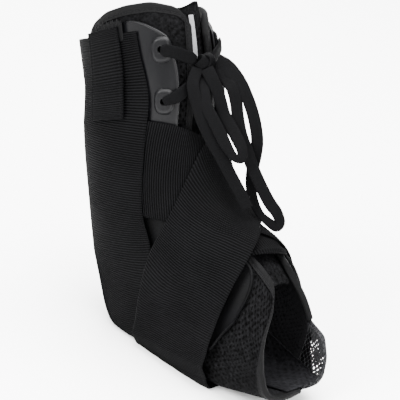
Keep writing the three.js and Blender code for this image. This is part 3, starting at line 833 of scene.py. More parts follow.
@dataclass
class Laces:
    """The flat lace: runs over the eyelets, the knot, two bow loops and a hanging end."""

    width: float = 8.0
    thickness: float = 1.8
    facets: int = 24
    step: float = 0.9
    groove: float = 0.12
    taper: float = 0.12
    over_shell: float = 2.9
    knot_centre: tuple = (-26.5, -2.0, 192.0)
    knot_size: tuple = (5.2, 7.5, 6.5)
    knot_width: float = 6.6
    knot_bands: tuple = (
        (0.15, 0.0, (0.6, 0.3, 0.2), (4.3, 5.3)),
        (0.75, 0.35, (-0.4, 2.8, -0.6), (3.3, 4.2)),
        (-0.7, -0.3, (-0.2, -3.0, 0.2), (3.3, 4.4)),
    )
    face: tuple = (0.62, -0.69, 0.37)
    free: dict = field(default_factory=lambda: {
        "bow_loop_long": ((1.5, 0.65, 0.47, 0.9), True, [
            (-21.5, 5, 193), (-16, 6, 191.5), (-8, 7, 188), (-0.5, 8, 182.5), (7, 9, 173.5),
            (13, 10, 163), (16.5, 11, 152), (16.5, 12, 142.5), (16, 12, 133), (17.5, 11, 124.5),
            (20.5, 10, 117.5), (26, 9, 111.5), (33, 8, 107.5), (40, 9, 105), (45, 11, 103.5),
            (45.5, 13, 106), (42.5, 12, 112), (37, 10, 117), (31, 8, 124), (25, 6, 132),
            (19.5, 5, 139), (14.5, 4, 147), (9, 3, 155), (4, 3, 164.5), (0, 3, 174),
            (-5.5, 3, 181.5), (-13, 3, 185), (-21, 3, 187),
        ]),
        "bow_loop_short": ((1.1, 0.65, 0.52, 0.9), True, [
            (-21, -6, 189.5), (-16, -5, 184.5), (-10.5, -4, 178), (-6.5, -3.5, 171.5),
            (-2.5, -3, 165), (4.5, -3, 159.5), (11.5, -3, 154), (17.5, -3.5, 148.5),
            (20, -5, 143.5), (17, -8, 143.5), (11, -10, 148.5), (4, -11, 155.5),
            (-3, -12, 162.5), (-10.5, -12.5, 169.5), (-16.5, -10.5, 177), (-22.5, -7, 183),
        ]),
        "lace_end_near": ((0.95, 1, 0.5, 1), False, [
            (-26.5, -11.2, 188), (-22.5, -15, 180), (-15.5, -16, 170), (-9, -16, 161),
            (-1, -14, 151), (8, -11, 141), (16, -8, 131), (24, -5, 121), (30, -3, 113),
        ]),
    })
    upper_run: dict = field(default_factory=lambda: table("station turn lift", [
        (1.9, 0.235, 1), (2.0, 0.18, 0.8), (2.15, 0.12, 0.3), (2.25, 0.07, 0.1),
    ]))
    lower_run: dict = field(default_factory=lambda: table("station turn lift", [
        (3.08, 0.235, 1), (3.0, 0.18, 0.8), (2.85, 0.12, 0.3), (2.78, 0.06, 0), (2.76, 0, 0),
    ]))

    def at_knot(self, point: Array) -> Array:
        """Move a point along its line from the knot's centre to just outside the knot.

        Args:
            point: the point in mm.

        Returns:
            The moved point.
        """
        way = point - np.array(self.knot_centre)
        share = np.linalg.norm(way / np.array(self.knot_size))
        length = np.linalg.norm(way)
        return np.array(self.knot_centre) + way / length * (length / share + LAYERS.seam)

    def ribbon(
        self, name: str, route: Array, facing: Array, tapers: tuple,
        closed: bool = False, width: float | None = None,
    ) -> tuple[Piece, Array]:
        """Sweep the lace's flat section along a route.

        Args:
            name: the piece's name.
            route: its points in mm.
            facing: the direction that its face turns to, one for all or one for each point.
            tapers: shares of its width at its start, at a loop's tip, where the tip is, at its end.
            closed: whether it joins its own start.
            width: its width in mm, or None for the lace's own.

        Returns:
            The object, and the points of its middle line in mm.
        """
        line, facing = self.along_curve(route, facing, closed)
        length = run_length(line)
        tangent = np.gradient(line, axis=0)
        if closed:
            tangent[0] = tangent[-1] = line[1] - line[-2]
        tangent = unit(tangent)
        wide = unit(np.cross(tangent, facing))
        thick = np.cross(wide, tangent)
        share = length / length[-1]
        start, tip, tip_at, end = tapers
        grown = [mix(s, 1, np.clip(d / self.taper, 0, 1)) for s, d in (
            (start, share), (tip, np.abs(share - tip_at)), (end, 1 - share),
        )]
        bunched = np.prod(grown, axis=0) * (width or self.width) / 2
        steps = len(line) - 1
        piece = add_grid(name, self.facets, steps)
        co = read_points(piece.data)
        row = np.clip(np.round(co[:, 1] * steps).astype(int), 0, steps)
        angle = CIRCLE * co[:, 0]
        crown = 1 - self.groove * np.cos(2 * angle) ** 8
        flat = power(np.cos(angle), 0.75) * bunched[row]
        full = power(np.sin(angle), 0.6) * crown * self.thickness / 2
        points = line[row] + wide[row] * flat[:, None] + thick[row] * full[:, None]
        write_points(piece.data, points * MM)
        scale_uv(piece, LACE.girth, length[-1])
        edit(piece, lambda: bpy.ops.mesh.remove_doubles(threshold=1e-6))
        if not closed:
            edit(
                piece,
                lambda: bpy.ops.mesh.select_all(action="DESELECT"),
                lambda: bpy.ops.mesh.select_non_manifold(),
                lambda: bpy.ops.mesh.fill_holes(sides=0),
            )
        edit(piece, lambda: bpy.ops.mesh.normals_make_consistent(inside=False))
        face_outward(piece)
        smooth_shade(piece, 50)
        return piece, line

    def along_curve(self, route: Array, facing: Array, closed: bool) -> tuple[Array, Array]:
        """Lay even points along a smooth curve through a route.

        Args:
            route: the route's points in mm.
            facing: one direction, or one for each point.
            closed: whether the curve joins its own start.

        Returns:
            The points, and a direction for each.
        """
        facing = np.broadcast_to(facing, route.shape)
        if closed:
            route = np.concatenate([route[-2:], route, route[:3]])
            facing = np.concatenate([facing[-2:], facing, facing[:3]])
        gaps = np.linalg.norm(np.diff(route, axis=0), axis=1) ** 0.5
        knots = np.concatenate([[0], np.cumsum(gaps)])
        fine = np.linspace(0, knots[-1], 40 * len(route))
        dense, turned = catmull_rom(route, knots, fine), resample(fine, knots, facing)
        if closed:
            keep = (fine >= knots[2]) & (fine <= knots[-3])
            dense, turned = dense[keep], turned[keep]
            dense[-1] = dense[0]
        length = run_length(dense)
        even = np.linspace(0, length[-1], max(12, int(length[-1] / self.step)))
        return resample(even, length, dense), unit(resample(even, length, turned))

    def free_laces(self) -> None:
        for name, (tapers, loop, points) in self.free.items():
            route = np.array(points, float)
            route[0] = self.at_knot(route[0])
            if loop:
                route[-1] = self.at_knot(route[-1])
            piece, line = self.ribbon(f"{name}_lace", route, np.array(self.face), tapers)
            finish_piece(piece, LACE, "lace", name)

    def held_laces(self) -> None:
        """Make the runs that lie on the brace between the eyelets and the knot."""
        above = LAYERS.on_pad + LAYERS.shell + LAYERS.seam + self.over_shell + self.thickness / 2
        low = LAYERS.pad + LAYERS.binding_rise + LAYERS.seam
        run = self.upper_run
        for side in Side:
            turn = run["turn"] * side.value
            route = FORM.at(run["station"], turn, mix(low + self.thickness, above, run["lift"]))
            facing = FORM.outward(run["station"], turn)
            piece, _ = self.ribbon(f"upper_lace_{side.label}", route, facing, (0.55, 1, 0.5, 0.6))
            finish_piece(piece, LACE, "lace", f"lace_upper_{side.label}")
        run = self.lower_run
        there = list(range(len(run["turn"])))
        back = there[-2::-1]
        station = run["station"][there + back]
        turn = run["turn"][there + back] * np.array([-1] * len(there) + [1] * len(back))
        height = mix(low + self.thickness / 2, above, run["lift"][there + back])
        route = FORM.at(station, turn, height)
        piece, _ = self.ribbon("lower_lace", route, FORM.outward(station, turn), (0.6, 1, 0.5, 0.6))
        finish_piece(piece, LACE, "lace", "lace_lower")

    def knot(self) -> None:
        """Wrap three bands of lace round each other where the bow is tied."""
        angle = np.linspace(0, CIRCLE, 25)[:-1]
        bands = []
        for tilt, lean, offset, (deep, tall) in self.knot_bands:
            ring = [deep * np.cos(angle), 0.8 * np.sin(2 * angle), tall * np.sin(angle)]
            turned = Matrix.Rotation(tilt, 3, "Z") @ Matrix.Rotation(lean, 3, "X")
            ring = np.stack(ring, axis=1) @ np.array(turned).T
            route = ring + np.array(self.knot_centre) + np.array(offset)
            even = (1, 1, 0.5, 1)
            band, _ = self.ribbon("knot_band", route, unit(ring), even, True, self.knot_width)
            bands.append(band)
        finish_piece(join("knot", bands), LACE, "lace", "lace_knot")

    def build(self) -> None:
        """Make the whole lace."""
        self.free_laces()
        self.held_laces()
        self.knot()


def catmull_rom(points: Array, knots: Array, at: Array) -> Array:
    """Read a centripetal Catmull-Rom curve.

    Args:
        points: the points that it passes through.
        knots: the value at each point.
        at: the values to read it at.

    Returns:
        Points on the curve.
    """
    first = 2 * points[0] - points[1]
    last = 2 * points[-1] - points[-2]
    p = np.concatenate([[first], points, [last]])
    t = np.concatenate([[2 * knots[0] - knots[1]], knots, [2 * knots[-1] - knots[-2]]])
    i = np.clip(np.searchsorted(knots, at, side="right") - 1, 0, len(points) - 2)
    t0, t1, t2, t3 = (t[i + k][:, None] for k in range(4))
    p0, p1, p2, p3 = (p[i + k] for k in range(4))
    s = at[:, None]
    a1 = (t1 - s) / (t1 - t0) * p0 + (s - t0) / (t1 - t0) * p1
    a2 = (t2 - s) / (t2 - t1) * p1 + (s - t1) / (t2 - t1) * p2
    a3 = (t3 - s) / (t3 - t2) * p2 + (s - t2) / (t3 - t2) * p3
    b1 = (t2 - s) / (t2 - t0) * a1 + (s - t0) / (t2 - t0) * a2
    b2 = (t3 - s) / (t3 - t1) * a2 + (s - t1) / (t3 - t1) * a3
    return (t2 - s) / (t2 - t1) * b1 + (s - t1) / (t2 - t1) * b2


@dataclass
class Panels:
    """The two padded panels, which meet at the heel and under the sole. Sizes are in mm."""

    across_length: float = 130.5
    down_length: float = 269.5
    corner: float = 17.0
    far_collar_drop: float = 0.25
    far_toe_share: float = 0.92
    far_binding_reach: float = 0.72
    collar_share: float = 14 / 48
    tucked_share: float = 0.45
    tuck: float = 0.6
    slack: float = 0.15
    swell: float = 0.22
    pucker: float = 0.1
    pucker_pitch: float = 5.5
    stitch: tuple = (1.9, 0.6, 0.44)
    stitch_pitch: float = 2.6
    stitch_at: float = 0.72
    stitch_dip: float = 0.35
    stitch_sink: float = 0.2
    collar_edge: dict = field(default_factory=lambda: table("turn station", [
        (0.06, 1.5), (0.08, 1.22), (0.14, 0.9), (0.27, 0.65), (0.4, 0.58), (0.52, 0.6),
        (0.62, 0.8), (0.7, 1.2), (0.8, 1.5), (1.0, 1.6),
    ]))
    toe_edge: dict = field(default_factory=lambda: table("turn station", [
        (0.08, 9.95), (0.09, 10.5), (0.14, 11.05), (0.22, 11.8), (0.29, 12.3), (0.38, 12.85),
        (0.55, 13.0), (0.8, 13.05), (1.0, 12.9),
    ]))
    front_edge: dict = field(default_factory=lambda: table("share turn", [
        (0.0, 0.06), (0.25, 0.08), (0.5, 0.1), (0.8, 0.11), (1.0, 0.08),
    ]))

    @property
    def binding_length(self) -> float:
        """Length of a panel's binding."""
        return 2 * self.across_length + self.down_length

    @property
    def binding(self) -> Array:
        """The binding's width as shares across and down the panel."""
        return LAYERS.binding_width / np.array([self.across_length, self.down_length])

    @property
    def seam(self) -> Array:
        """The gap in a seam as shares across and down the panel."""
        return LAYERS.seam / np.array([self.across_length, self.down_length])

    def point(self, side: Side, across: Array, down: Array) -> tuple[Array, Array]:
        """Find a panel's stations and turns.

        Args:
            side: which panel.
            across: shares from the heel seam to the front edge.
            down: shares from the collar to the toe.

        Returns:
            The stations and the turns.
        """
        far = side is Side.FAR
        a = np.clip((across - 1) * self.across_length / self.corner + 1, 0, 1)
        d = np.clip((down - 1) * self.down_length / self.corner + 1, 0, 1)
        across = across - a * (1 - np.sqrt(1 - d * d / 2)) * self.corner / self.across_length
        down = down - d * (1 - np.sqrt(1 - a * a / 2)) * self.corner / self.down_length
        turn = mix(1, lookup(down, self.front_edge), across)
        top = rounded_lookup(turn, self.collar_edge, 0.02) + (self.far_collar_drop if far else 0)
        end = rounded_lookup(turn, self.toe_edge, 0.06) * (self.far_toe_share if far else 1)
        return mix(top, end, down), side.value * turn

    def panel(self, side: Side) -> None:
        """Make one padded panel, a little uneven, as sewn foam cloth is.

        Args:
            side: which side of the brace.
        """
        size = (self.across_length, self.down_length)

        def place(u: Array, v: Array, w: Array) -> Array:
            """Place points of the panel."""
            across = mix(self.seam[0], 1 - self.tucked_share * self.binding[0], u)
            under = self.tucked_share * self.binding[1]
            station, turn = self.point(side, across, mix(under, 1 - under, v))
            base = FORM.at(station, turn, 0.0)
            swell = self.swell * lumps(base, 26, 3) * w
            tuck = 1 - smooth(0.02, 0.045, np.minimum(1 - u, np.minimum(v, 1 - v) * 2))
            low = self.slack * lumps(base, 30, 5) + self.tuck * tuck
            return FORM.at(station, turn, mix(low, LAYERS.pad + swell - self.tuck * tuck, w))

        piece = bent_sheet(f"padded_panel_{side.label}", 110, 170, size, place)
        vertex = np.empty(len(piece.data.loops), int)
        piece.data.loops.foreach_get("vertex_index", vertex)
        shares = np.zeros((len(piece.data.vertices), 2))
        shares[vertex] = read_uv(piece) / (size[0] * MM, size[1] * MM)
        front_strip = smooth(0.86, 0.89, shares[:, 0]) * smooth(0.1, 0.16, shares[:, 1])
        add_attribute(piece, "loop", (1 - smooth(0.5, 0.55, shares[:, 1])) * (1 - front_strip))
        # Painted light: the inner face is painted lighter, because little light reaches inside the
        # brace.
        add_attribute(piece, "lining", np.arange(len(shares)) >= len(shares) // 2)
        finish_piece(piece, PADDING, "padding", f"side_panel_{side.label}")

    def border(self, along: Array, inwards: Array, side: Side) -> tuple[Array, Array]:
        """Walk round a panel's collar, front and toe edges.

        Args:
            along: shares of the walk.
            inwards: 0 at the edge, 1 at the binding's inner side.
            side: which panel.

        Returns:
            Shares across and down the panel.
        """
        collar = self.collar_share
        toe = 1 - collar
        reach = self.far_binding_reach if side is Side.FAR else self.seam[0]
        high = 1 - inwards * self.binding[0]
        low = inwards * self.binding[1]
        across = np.where(
            along < collar, mix(self.seam[0], high, along / collar),
            np.where(along > toe, mix(reach, high, (1 - along) / collar), high),
        )
        middle = mix(low, 1 - low, np.clip((along - collar) / (toe - collar), 0, 1))
        down = np.where(along < collar, low, np.where(along > toe, 1 - low, middle))
        return across, down

    def tape(self, side: Side) -> None:
        """Make the folded tape round a panel's edge.

        Args:
            side: which side of the brace.
        """

        def place(u: Array, v: Array, w: Array) -> Array:
            """Place points of the tape."""
            station, turn = self.point(side, *self.border(v, u, side))
            folded = np.sqrt(np.clip(1 - np.clip(1 - u * 4, 0, 1) ** 2, 0.06, 1))
            pucker = self.pucker * np.sin(v * self.binding_length * CIRCLE / self.pucker_pitch) * u
            dip = self.stitch_dip * ridge(u, self.stitch_at, 1 / 9)
            half = LAYERS.pad / 2
            rise = (half + LAYERS.binding_rise - dip + pucker) * folded
            return FORM.at(station, turn, half + (2 * w - 1) * rise)

        size = (LAYERS.binding_width, self.binding_length)
        piece = bent_sheet(f"binding_tape_{side.label}", 14, 420, size, place)
        finish_piece(piece, TAPE, "binding", f"edge_binding_{side.label}")

    def stitches(self, side: Side) -> None:
        """Lay a row of stitches in the binding.

        Args:
            side: which side of the brace.
        """
        count = int(self.binding_length / self.stitch_pitch)
        v = (np.arange(count) + 0.5) / count
        u = np.full(count, self.stitch_at)
        step = 0.4 / self.binding_length

        def spot(shift: float) -> Array:
            """Find the stitches' places, shifted along the binding."""
            station, turn = self.point(side, *self.border(v + shift, u, side))
            return FORM.at(station, turn, LAYERS.pad + LAYERS.binding_rise - self.stitch_sink)

        middle, ahead = spot(0.0), spot(step) - spot(-step)
        normal = FORM.outward(*self.point(side, *self.border(v, u, side)))
        bpy.ops.mesh.primitive_uv_sphere_add(segments=8, ring_count=5, radius=1)
        stitch = bpy.context.object
        scale = Matrix.Diagonal((*(s / 2 * MM for s in self.stitch), 1))
        frames = []
        for centre, way, up in zip(middle, ahead, normal):
            x = Vector(way).normalized()
            z = (Vector(up) - x * Vector(up).dot(x)).normalized()
            frames.append(placed(x, z.cross(x), z, Vector(centre) * MM) @ scale)
        piece = copies(f"binding_stitches_{side.label}", stitch, frames)
        smooth_shade(piece)
        finish_piece(piece, THREAD, "binding")

    def build(self) -> None:
        """Make both panels with their bindings and stitches."""
        for side in Side:
            self.panel(side)
            self.tape(side)
            self.stitches(side)


@dataclass
class Straps:
    """The two wrap straps, in a figure of eight, and their pull tabs."""

    width: float = 60.0
    rib: float = 1.6
    rib_height: float = 0.13
    tab_size: tuple = (24.0, 62.0)
    tab_seam: tuple = (0.25, 2.2, 0.5)
    hook_size: tuple = (26.0, 12.0)
    hook_place: tuple = (0.97, 1.5, 0.585, 0.4)
    hook_thickness: float = 0.45
    tuft: float = 0.55
    fold_size: tuple = (30.0, 54.0)
    fold_turns: tuple = (-0.14, 0.3)
    fold_stations: tuple = (7.3, 8.45)
    fold_bulge: float = 0.45
    creases: tuple = (0.9, 0.6)
    rows: dict = field(default_factory=lambda: table(
        "rear_turn rear_station front_turn front_station on_shell",
        [
            (-0.996, 3.05, -0.996, 5.4, 0), (-0.9, 3.05, -0.9, 5.4, 0), (-0.8, 3.05, -0.8, 5.4, 0.5),
            (-0.6, 3.15, -0.63, 5.5, 1), (-0.45, 3.3, -0.5, 5.65, 1), (-0.31, 3.45, -0.4, 5.8, 1.15),
            (-0.16, 3.65, -0.28, 6.15, 1.1), (-0.04, 3.95, -0.15, 6.9, 1.15),
            (0.06, 4.2, -0.03, 7.6, 1.15), (0.18, 5.15, 0.05, 8.1, 1.15), (0.32, 6.2, 0.21, 9.2, 1.1),
            (0.4, 6.75, 0.31, 9.9, 1), (0.52, 7.7, 0.42, 10.45, 1), (0.62, 8.35, 0.55, 10.75, 1),
            (0.69, 8.65, 0.64, 10.85, 0.6), (0.74, 8.85, 0.7, 10.98, 0), (0.79, 8.9, 0.78, 11.05, 0),
            (0.88, 8.9, 0.88, 11.05, 0), (1.0, 8.85, 1.0, 10.9, 0), (1.12, 8.65, 1.12, 10.6, 0),
            (1.19, 8.4, 1.2, 10.3, 0), (1.22, 8.1, 1.25, 10.05, 0), (1.24, 7.8, 1.31, 9.7, 0.36),
            (1.245, 7.35, 1.42, 9.0, 0.88), (1.25, 6.8, 1.53, 7.9, 1), (1.255, 6.15, 1.59, 6.65, 1),
            (1.265, 5.3, 1.61, 5.75, 1), (1.275, 4.5, 1.65, 4.9, 1), (1.285, 3.7, 1.68, 4.15, 1),
            (1.295, 2.75, 1.7, 3.0, 1), (1.265, 1.95, 1.67, 1.95, 1), (1.22, 1.15, 1.66, 1.33, 1),
        ],
    ))
    inner_layers: dict = field(default_factory=lambda: table("row under", [
        (0, 0), (23, 0), (24.5, 1), (28.4, 1), (29.4, 0), (31, 0),
    ]))
    outer_layers: dict = field(default_factory=lambda: table("row under", [
        (0, 0), (2, 0), (4, 1.1), (6, 1.3), (9, 1.3), (10, 2.15), (14, 2), (15, 1.1), (16, 1.08),
        (21, 1.08), (23, 2.05), (28.4, 2), (29.4, 0), (31, 0),
    ]))
    tab_rows: dict = field(default_factory=lambda: table("station rear front under", [
        (1.12, 0.6, 0.42, 0), (1.8, 0.597, 0.41, 0), (2.35, 0.594, 0.405, 0.15),
        (2.8, 0.592, 0.402, 0.75), (3.35, 0.59, 0.4, 1.05),
    ]))
    tab_thickness: float = 2.6

    def point(
        self, side: int, layers: dict, row: Array, across: Array, through: Array,
        lift: Numbers = 0.0,
    ) -> Array:
        """Find points on a strap.

        Args:
            side: 1 for the inner strap, -1 for the outer one.
            layers: the webbing under it.
            row: row numbers along it.
            across: shares across it, from its rear edge.
            through: shares through it.
            lift: height added, for ribs and edges.

        Returns:
            The points in mm.
        """
        rear_turn, rear_station, front_turn, front_station, on_shell = read_rows(self.rows, row)
        turn = mix(rear_turn, front_turn, across)
        station = mix(rear_station, front_station, across)
        height = mix(LAYERS.on_pad, LAYERS.on_shell, np.maximum(0, on_shell))
        height = height + lookup(row, layers) * LAYERS.layer
        floor = np.maximum(LAYERS.sole_lift - height, LAYERS.webbing) - through * LAYERS.webbing
        return FORM.at(station, side * turn, height + through * LAYERS.webbing + lift, floor - lift)

    def ribs(self, v: Array, length: float) -> Array:
        """Give the relief of the ribs along a piece of webbing of a length in mm."""
        return self.rib_height * np.sin(v * length / self.rib * CIRCLE)

    def strap(self, name: str, node: str, side: int, layers: dict) -> None:
        """Make one strap with its ribs and its flat woven edges.

        Args:
            name: the piece's name.
            node: the CAD node that it replaces.
            side: 1 for the inner strap, -1 for the outer one.
            layers: the webbing under it.
        """
        last = len(self.rows["on_shell"]) - 1
        fine = np.linspace(0, last, 1500)
        run = run_length(self.point(side, layers, fine, np.full(1500, 0.5), np.ones(1500)))
        length = float(run[-1])
        ribs = round(length / self.rib)

        def place(u: Array, v: Array, w: Array) -> Array:
            """Place points of the strap."""
            row = np.interp(v * length, run, fine)
            u = dense_ends(u, 0.75)
            edge = np.minimum(u, 1 - u) * self.width
            rib = 0.15 * np.sin(v * ribs * CIRCLE) * smooth(1.2, 2.2, edge)
            drawn_in = rounded(u, v, w, (self.width, length), 0.55) - w
            lift = np.where(w > 0.5, rib, 0) + drawn_in * LAYERS.webbing
            return self.point(side, layers, row, u, w, lift)

        piece = bent_sheet(name, 18, ribs * 4, (self.width, ribs * self.rib), place)
        finish_piece(piece, WEBBING, "webbing", node)
        log.info("%s: %.0f mm long", name, length)

    def tab(self, side: Side) -> None:
        """Make the doubled pull tab on a strap's calf end.

        Args:
            side: which side of the brace.
        """
        size = self.tab_size

        def place(u: Array, v: Array, w: Array) -> Array:
            """Place points of the tab."""
            u, v = dense_ends(u), dense_ends(v, 0.5)
            station, rear, front, under = read_share(self.tab_rows, v)
            straps = 1 + under * (2 if side is Side.FAR else 1)
            deep, inwards, wide = self.tab_seam
            seam = -deep * ridge(np.minimum(u, 1 - u) * size[0], inwards, wide) * w
            height = LAYERS.on_shell + straps * LAYERS.layer
            height = height + self.tab_thickness * rounded(u, v, w, size, 0.8)
            height = height + self.ribs(v, size[1]) * np.round(w) + seam
            return FORM.at(station, side.value * mix(rear, front, u), height)

        piece = bent_sheet(f"tab_{side.label}", 40, 156, size, place)
        finish_piece(piece, WEBBING, "webbing", f"pull_tab_{side.label}")

    def hook_strip(self, side: Side) -> None:
        """Make the rough end of the hook fastener that looks out above a tab.

        Args:
            side: which side of the brace.
        """
        top, bottom, rear, front = self.hook_place

        def place(u: Array, v: Array, w: Array) -> Array:
            """Place points of the hook strip."""
            torn = 0.035 * np.sin(u * 41) + 0.03 * np.sin(u * 97 + 1)
            station = mix(top + torn, bottom, v)
            turn = mix(rear, front, u)
            tuft = self.tuft * np.abs(lumps(FORM.at(station, turn, 0.0), 2.4, 31))
            height = LAYERS.on_shell + LAYERS.webbing + LAYERS.seam
            height = height + self.hook_thickness * (rounded(u, v, w, self.hook_size, 0.5) - 0.5)
            height = height + tuft * (1 - smooth(0.2, 0.5, v)) * w
            return FORM.at(station, side.value * turn, height)

        piece = bent_sheet(f"hook_strip_{side.label}", 90, 40, self.hook_size, place)
        finish_piece(piece, TAPE, "webbing")

    def instep_fold(self) -> None:
        """Make the crumpled front edge of the inner strap, tucked under the outer one."""
        size = self.fold_size
        near, far = self.fold_turns
        rear, front = self.fold_stations
        first, second = self.creases

        def place(u: Array, v: Array, w: Array) -> Array:
            """Place points of the instep fold."""
            turn = mix(near, far, v)
            bulge = self.fold_bulge * np.sin(math.pi * np.clip((turn - near) / 0.5, 0, 1))
            station = mix(rear, front + bulge, dense_ends(u, 0.5))
            crease = first * ridge(u, 0.82, 0.07)
            crease = crease + second * ridge(u, 0.5 + 0.15 * v, 0.06) * np.sin(math.pi * v)
            height = LAYERS.on_pad + LAYERS.seam + LAYERS.webbing * rounded(u, v, w, size, 0.6)
            return FORM.at(station, turn, height + crease + self.ribs(v, size[1]) * w)

        finish_piece(bent_sheet("instep_fold", 50, 140, size, place), WEBBING, "webbing")

    def build(self) -> None:
        """Make both straps, both tabs and the fastener ends under them."""
        self.instep_fold()
        for side in Side:
            self.hook_strip(side)
        self.strap("wrap_strap_inner", "strap_inner", 1, self.inner_layers)
        self.strap("wrap_strap_outer", "strap_outer", -1, self.outer_layers)
        for side in Side:
            self.tab(side)


@dataclass
class Shells:
    """The moulded side shells, with a raised lip, and the eyelet islands on them."""

    rows: dict = field(default_factory=lambda: table("station front rear", [
        (1.02, 0.37, 0.47), (1.1, 0.33, 0.52), (1.25, 0.28, 0.55), (1.5, 0.22, 0.57),
        (1.75, 0.19, 0.58), (2.6, 0.16, 0.58), (3.8, 0.17, 0.58), (5.2, 0.17, 0.59),
        (6.6, 0.16, 0.6), (8.0, 0.16, 0.6), (8.8, 0.155, 0.6), (9.3, 0.165, 0.6), (9.8, 0.2, 0.6),
        (10.25, 0.26, 0.59), (10.62, 0.35, 0.55),
    ]))
    eyelets: dict = field(default_factory=lambda: {"upper": (1.9, 0.235), "lower": (3.08, 0.235)})
    size: tuple = (64.0, 200.0)
    lip: tuple = (0.5, 1.4, 0.9)
    field_drop: float = 0.12
    satin_above: float = 125.0
    island: tuple = (13.0, 17.0, 1.9)
    hole: float = 4.6

    def shell(self, side: Side) -> None:
        """Make one shell and drill its lace holes.

        Args:
            side: which side of the brace.
        """
        high, inwards, wide = self.lip

        def place(u: Array, v: Array, w: Array) -> Array:
            """Place points of the shell."""
            u, v = dense_ends(u, 0.85), dense_ends(v, 0.75)
            station, front, rear = read_share(self.rows, v)
            edge = inset(u, v, self.size)
            lip = high * ridge(edge, inwards, wide) - self.field_drop * smooth(3.0, 5.0, edge)
            height = LAYERS.on_pad + LAYERS.shell * rounded(u, v, w, self.size, 0.8) + lip * w
            return FORM.at(station, side.value * mix(front, rear, u), height)

        piece = bent_sheet(f"moulded_shell_{side.label}", 70, 180, self.size, place)
        for station, turn in self.eyelets.values():
            bpy.ops.mesh.primitive_cylinder_add(radius=self.hole / 2 * MM, depth=12 * MM, vertices=32)
            drill = bpy.context.object
            drill.data.transform(self.seat(station, turn * side.value, LAYERS.on_pad))
            modify(piece, "BOOLEAN", operation="DIFFERENCE", object=drill, solver="EXACT")
            bpy.data.objects.remove(drill)
        smooth_shade(piece, 30)
        finish_piece(piece, SHELL, "shell", f"side_shell_{side.label}")
        piece.data.materials.append(SHELL_FOOT.material())
        for face in piece.data.polygons:
            face.material_index = int(face.center.z < self.satin_above * MM)

    @staticmethod
    def seat(station: float, turn: float, height: float) -> Matrix:
        """Give the place and turn of something that sits flat on the form.

        Args:
            station: its station.
            turn: its turn.
            height: its height above the form in mm.

        Returns:
            Its place, in metres.
        """
        s, t = np.array([station]), np.array([turn])
        normal = Vector(FORM.outward(s, t)[0])
        down = Vector((FORM.inner(s + 0.02, t) - FORM.inner(s - 0.02, t))[0]).normalized()
        sideways = down.cross(normal).normalized()
        return placed(sideways, down, normal, Vector(FORM.at(s, t, height)[0]) * MM)

    def islands(self, side: Side) -> None:
        """Make the raised oval round each lace hole.

        Args:
            side: which side of the brace.
        """
        wide, tall, thick = self.island
        for name, (station, turn) in self.eyelets.items():
            bpy.ops.mesh.primitive_torus_add(
                major_radius=1.0, minor_radius=0.3, major_segments=64, minor_segments=28
            )
            piece = bpy.context.object
            piece.name = piece.data.name = f"eyelet_island_{side.label}_{name}"
            x, y, z = read_points(piece.data).T
            around, section = np.arctan2(y, x), np.arctan2(z, np.hypot(x, y) - 1)
            share = (1 + power(np.cos(section), 0.6)) / 2
            squares = np.abs(np.cos(around) * 2 / wide) ** 3 + np.abs(np.sin(around) * 2 / tall) ** 3
            radius = mix(self.hole / 2, squares ** (-1 / 3), share)
            bevel = np.clip((1 - share) / 0.3, 0, 1) ** 0.8 * np.clip(0.85 + 3 * share, 0, 1)
            height = np.where(np.sin(section) > 0, thick * bevel, 0.0)
            points = np.stack([radius * np.cos(around), radius * np.sin(around), height], axis=1)
            write_points(piece.data, points * MM)
            on_shell = LAYERS.on_pad + LAYERS.shell + LAYERS.seam
            piece.data.transform(self.seat(station, turn * side.value, on_shell))
            face_outward(piece)
            smooth_shade(piece, 50)
            finish_piece(piece, ISLAND, "eyelet", f"eyelet_{side.label}_{name}")

    def build(self) -> None:
        """Make both shells and their islands."""
        for side in Side:
            self.shell(side)
            self.islands(side)


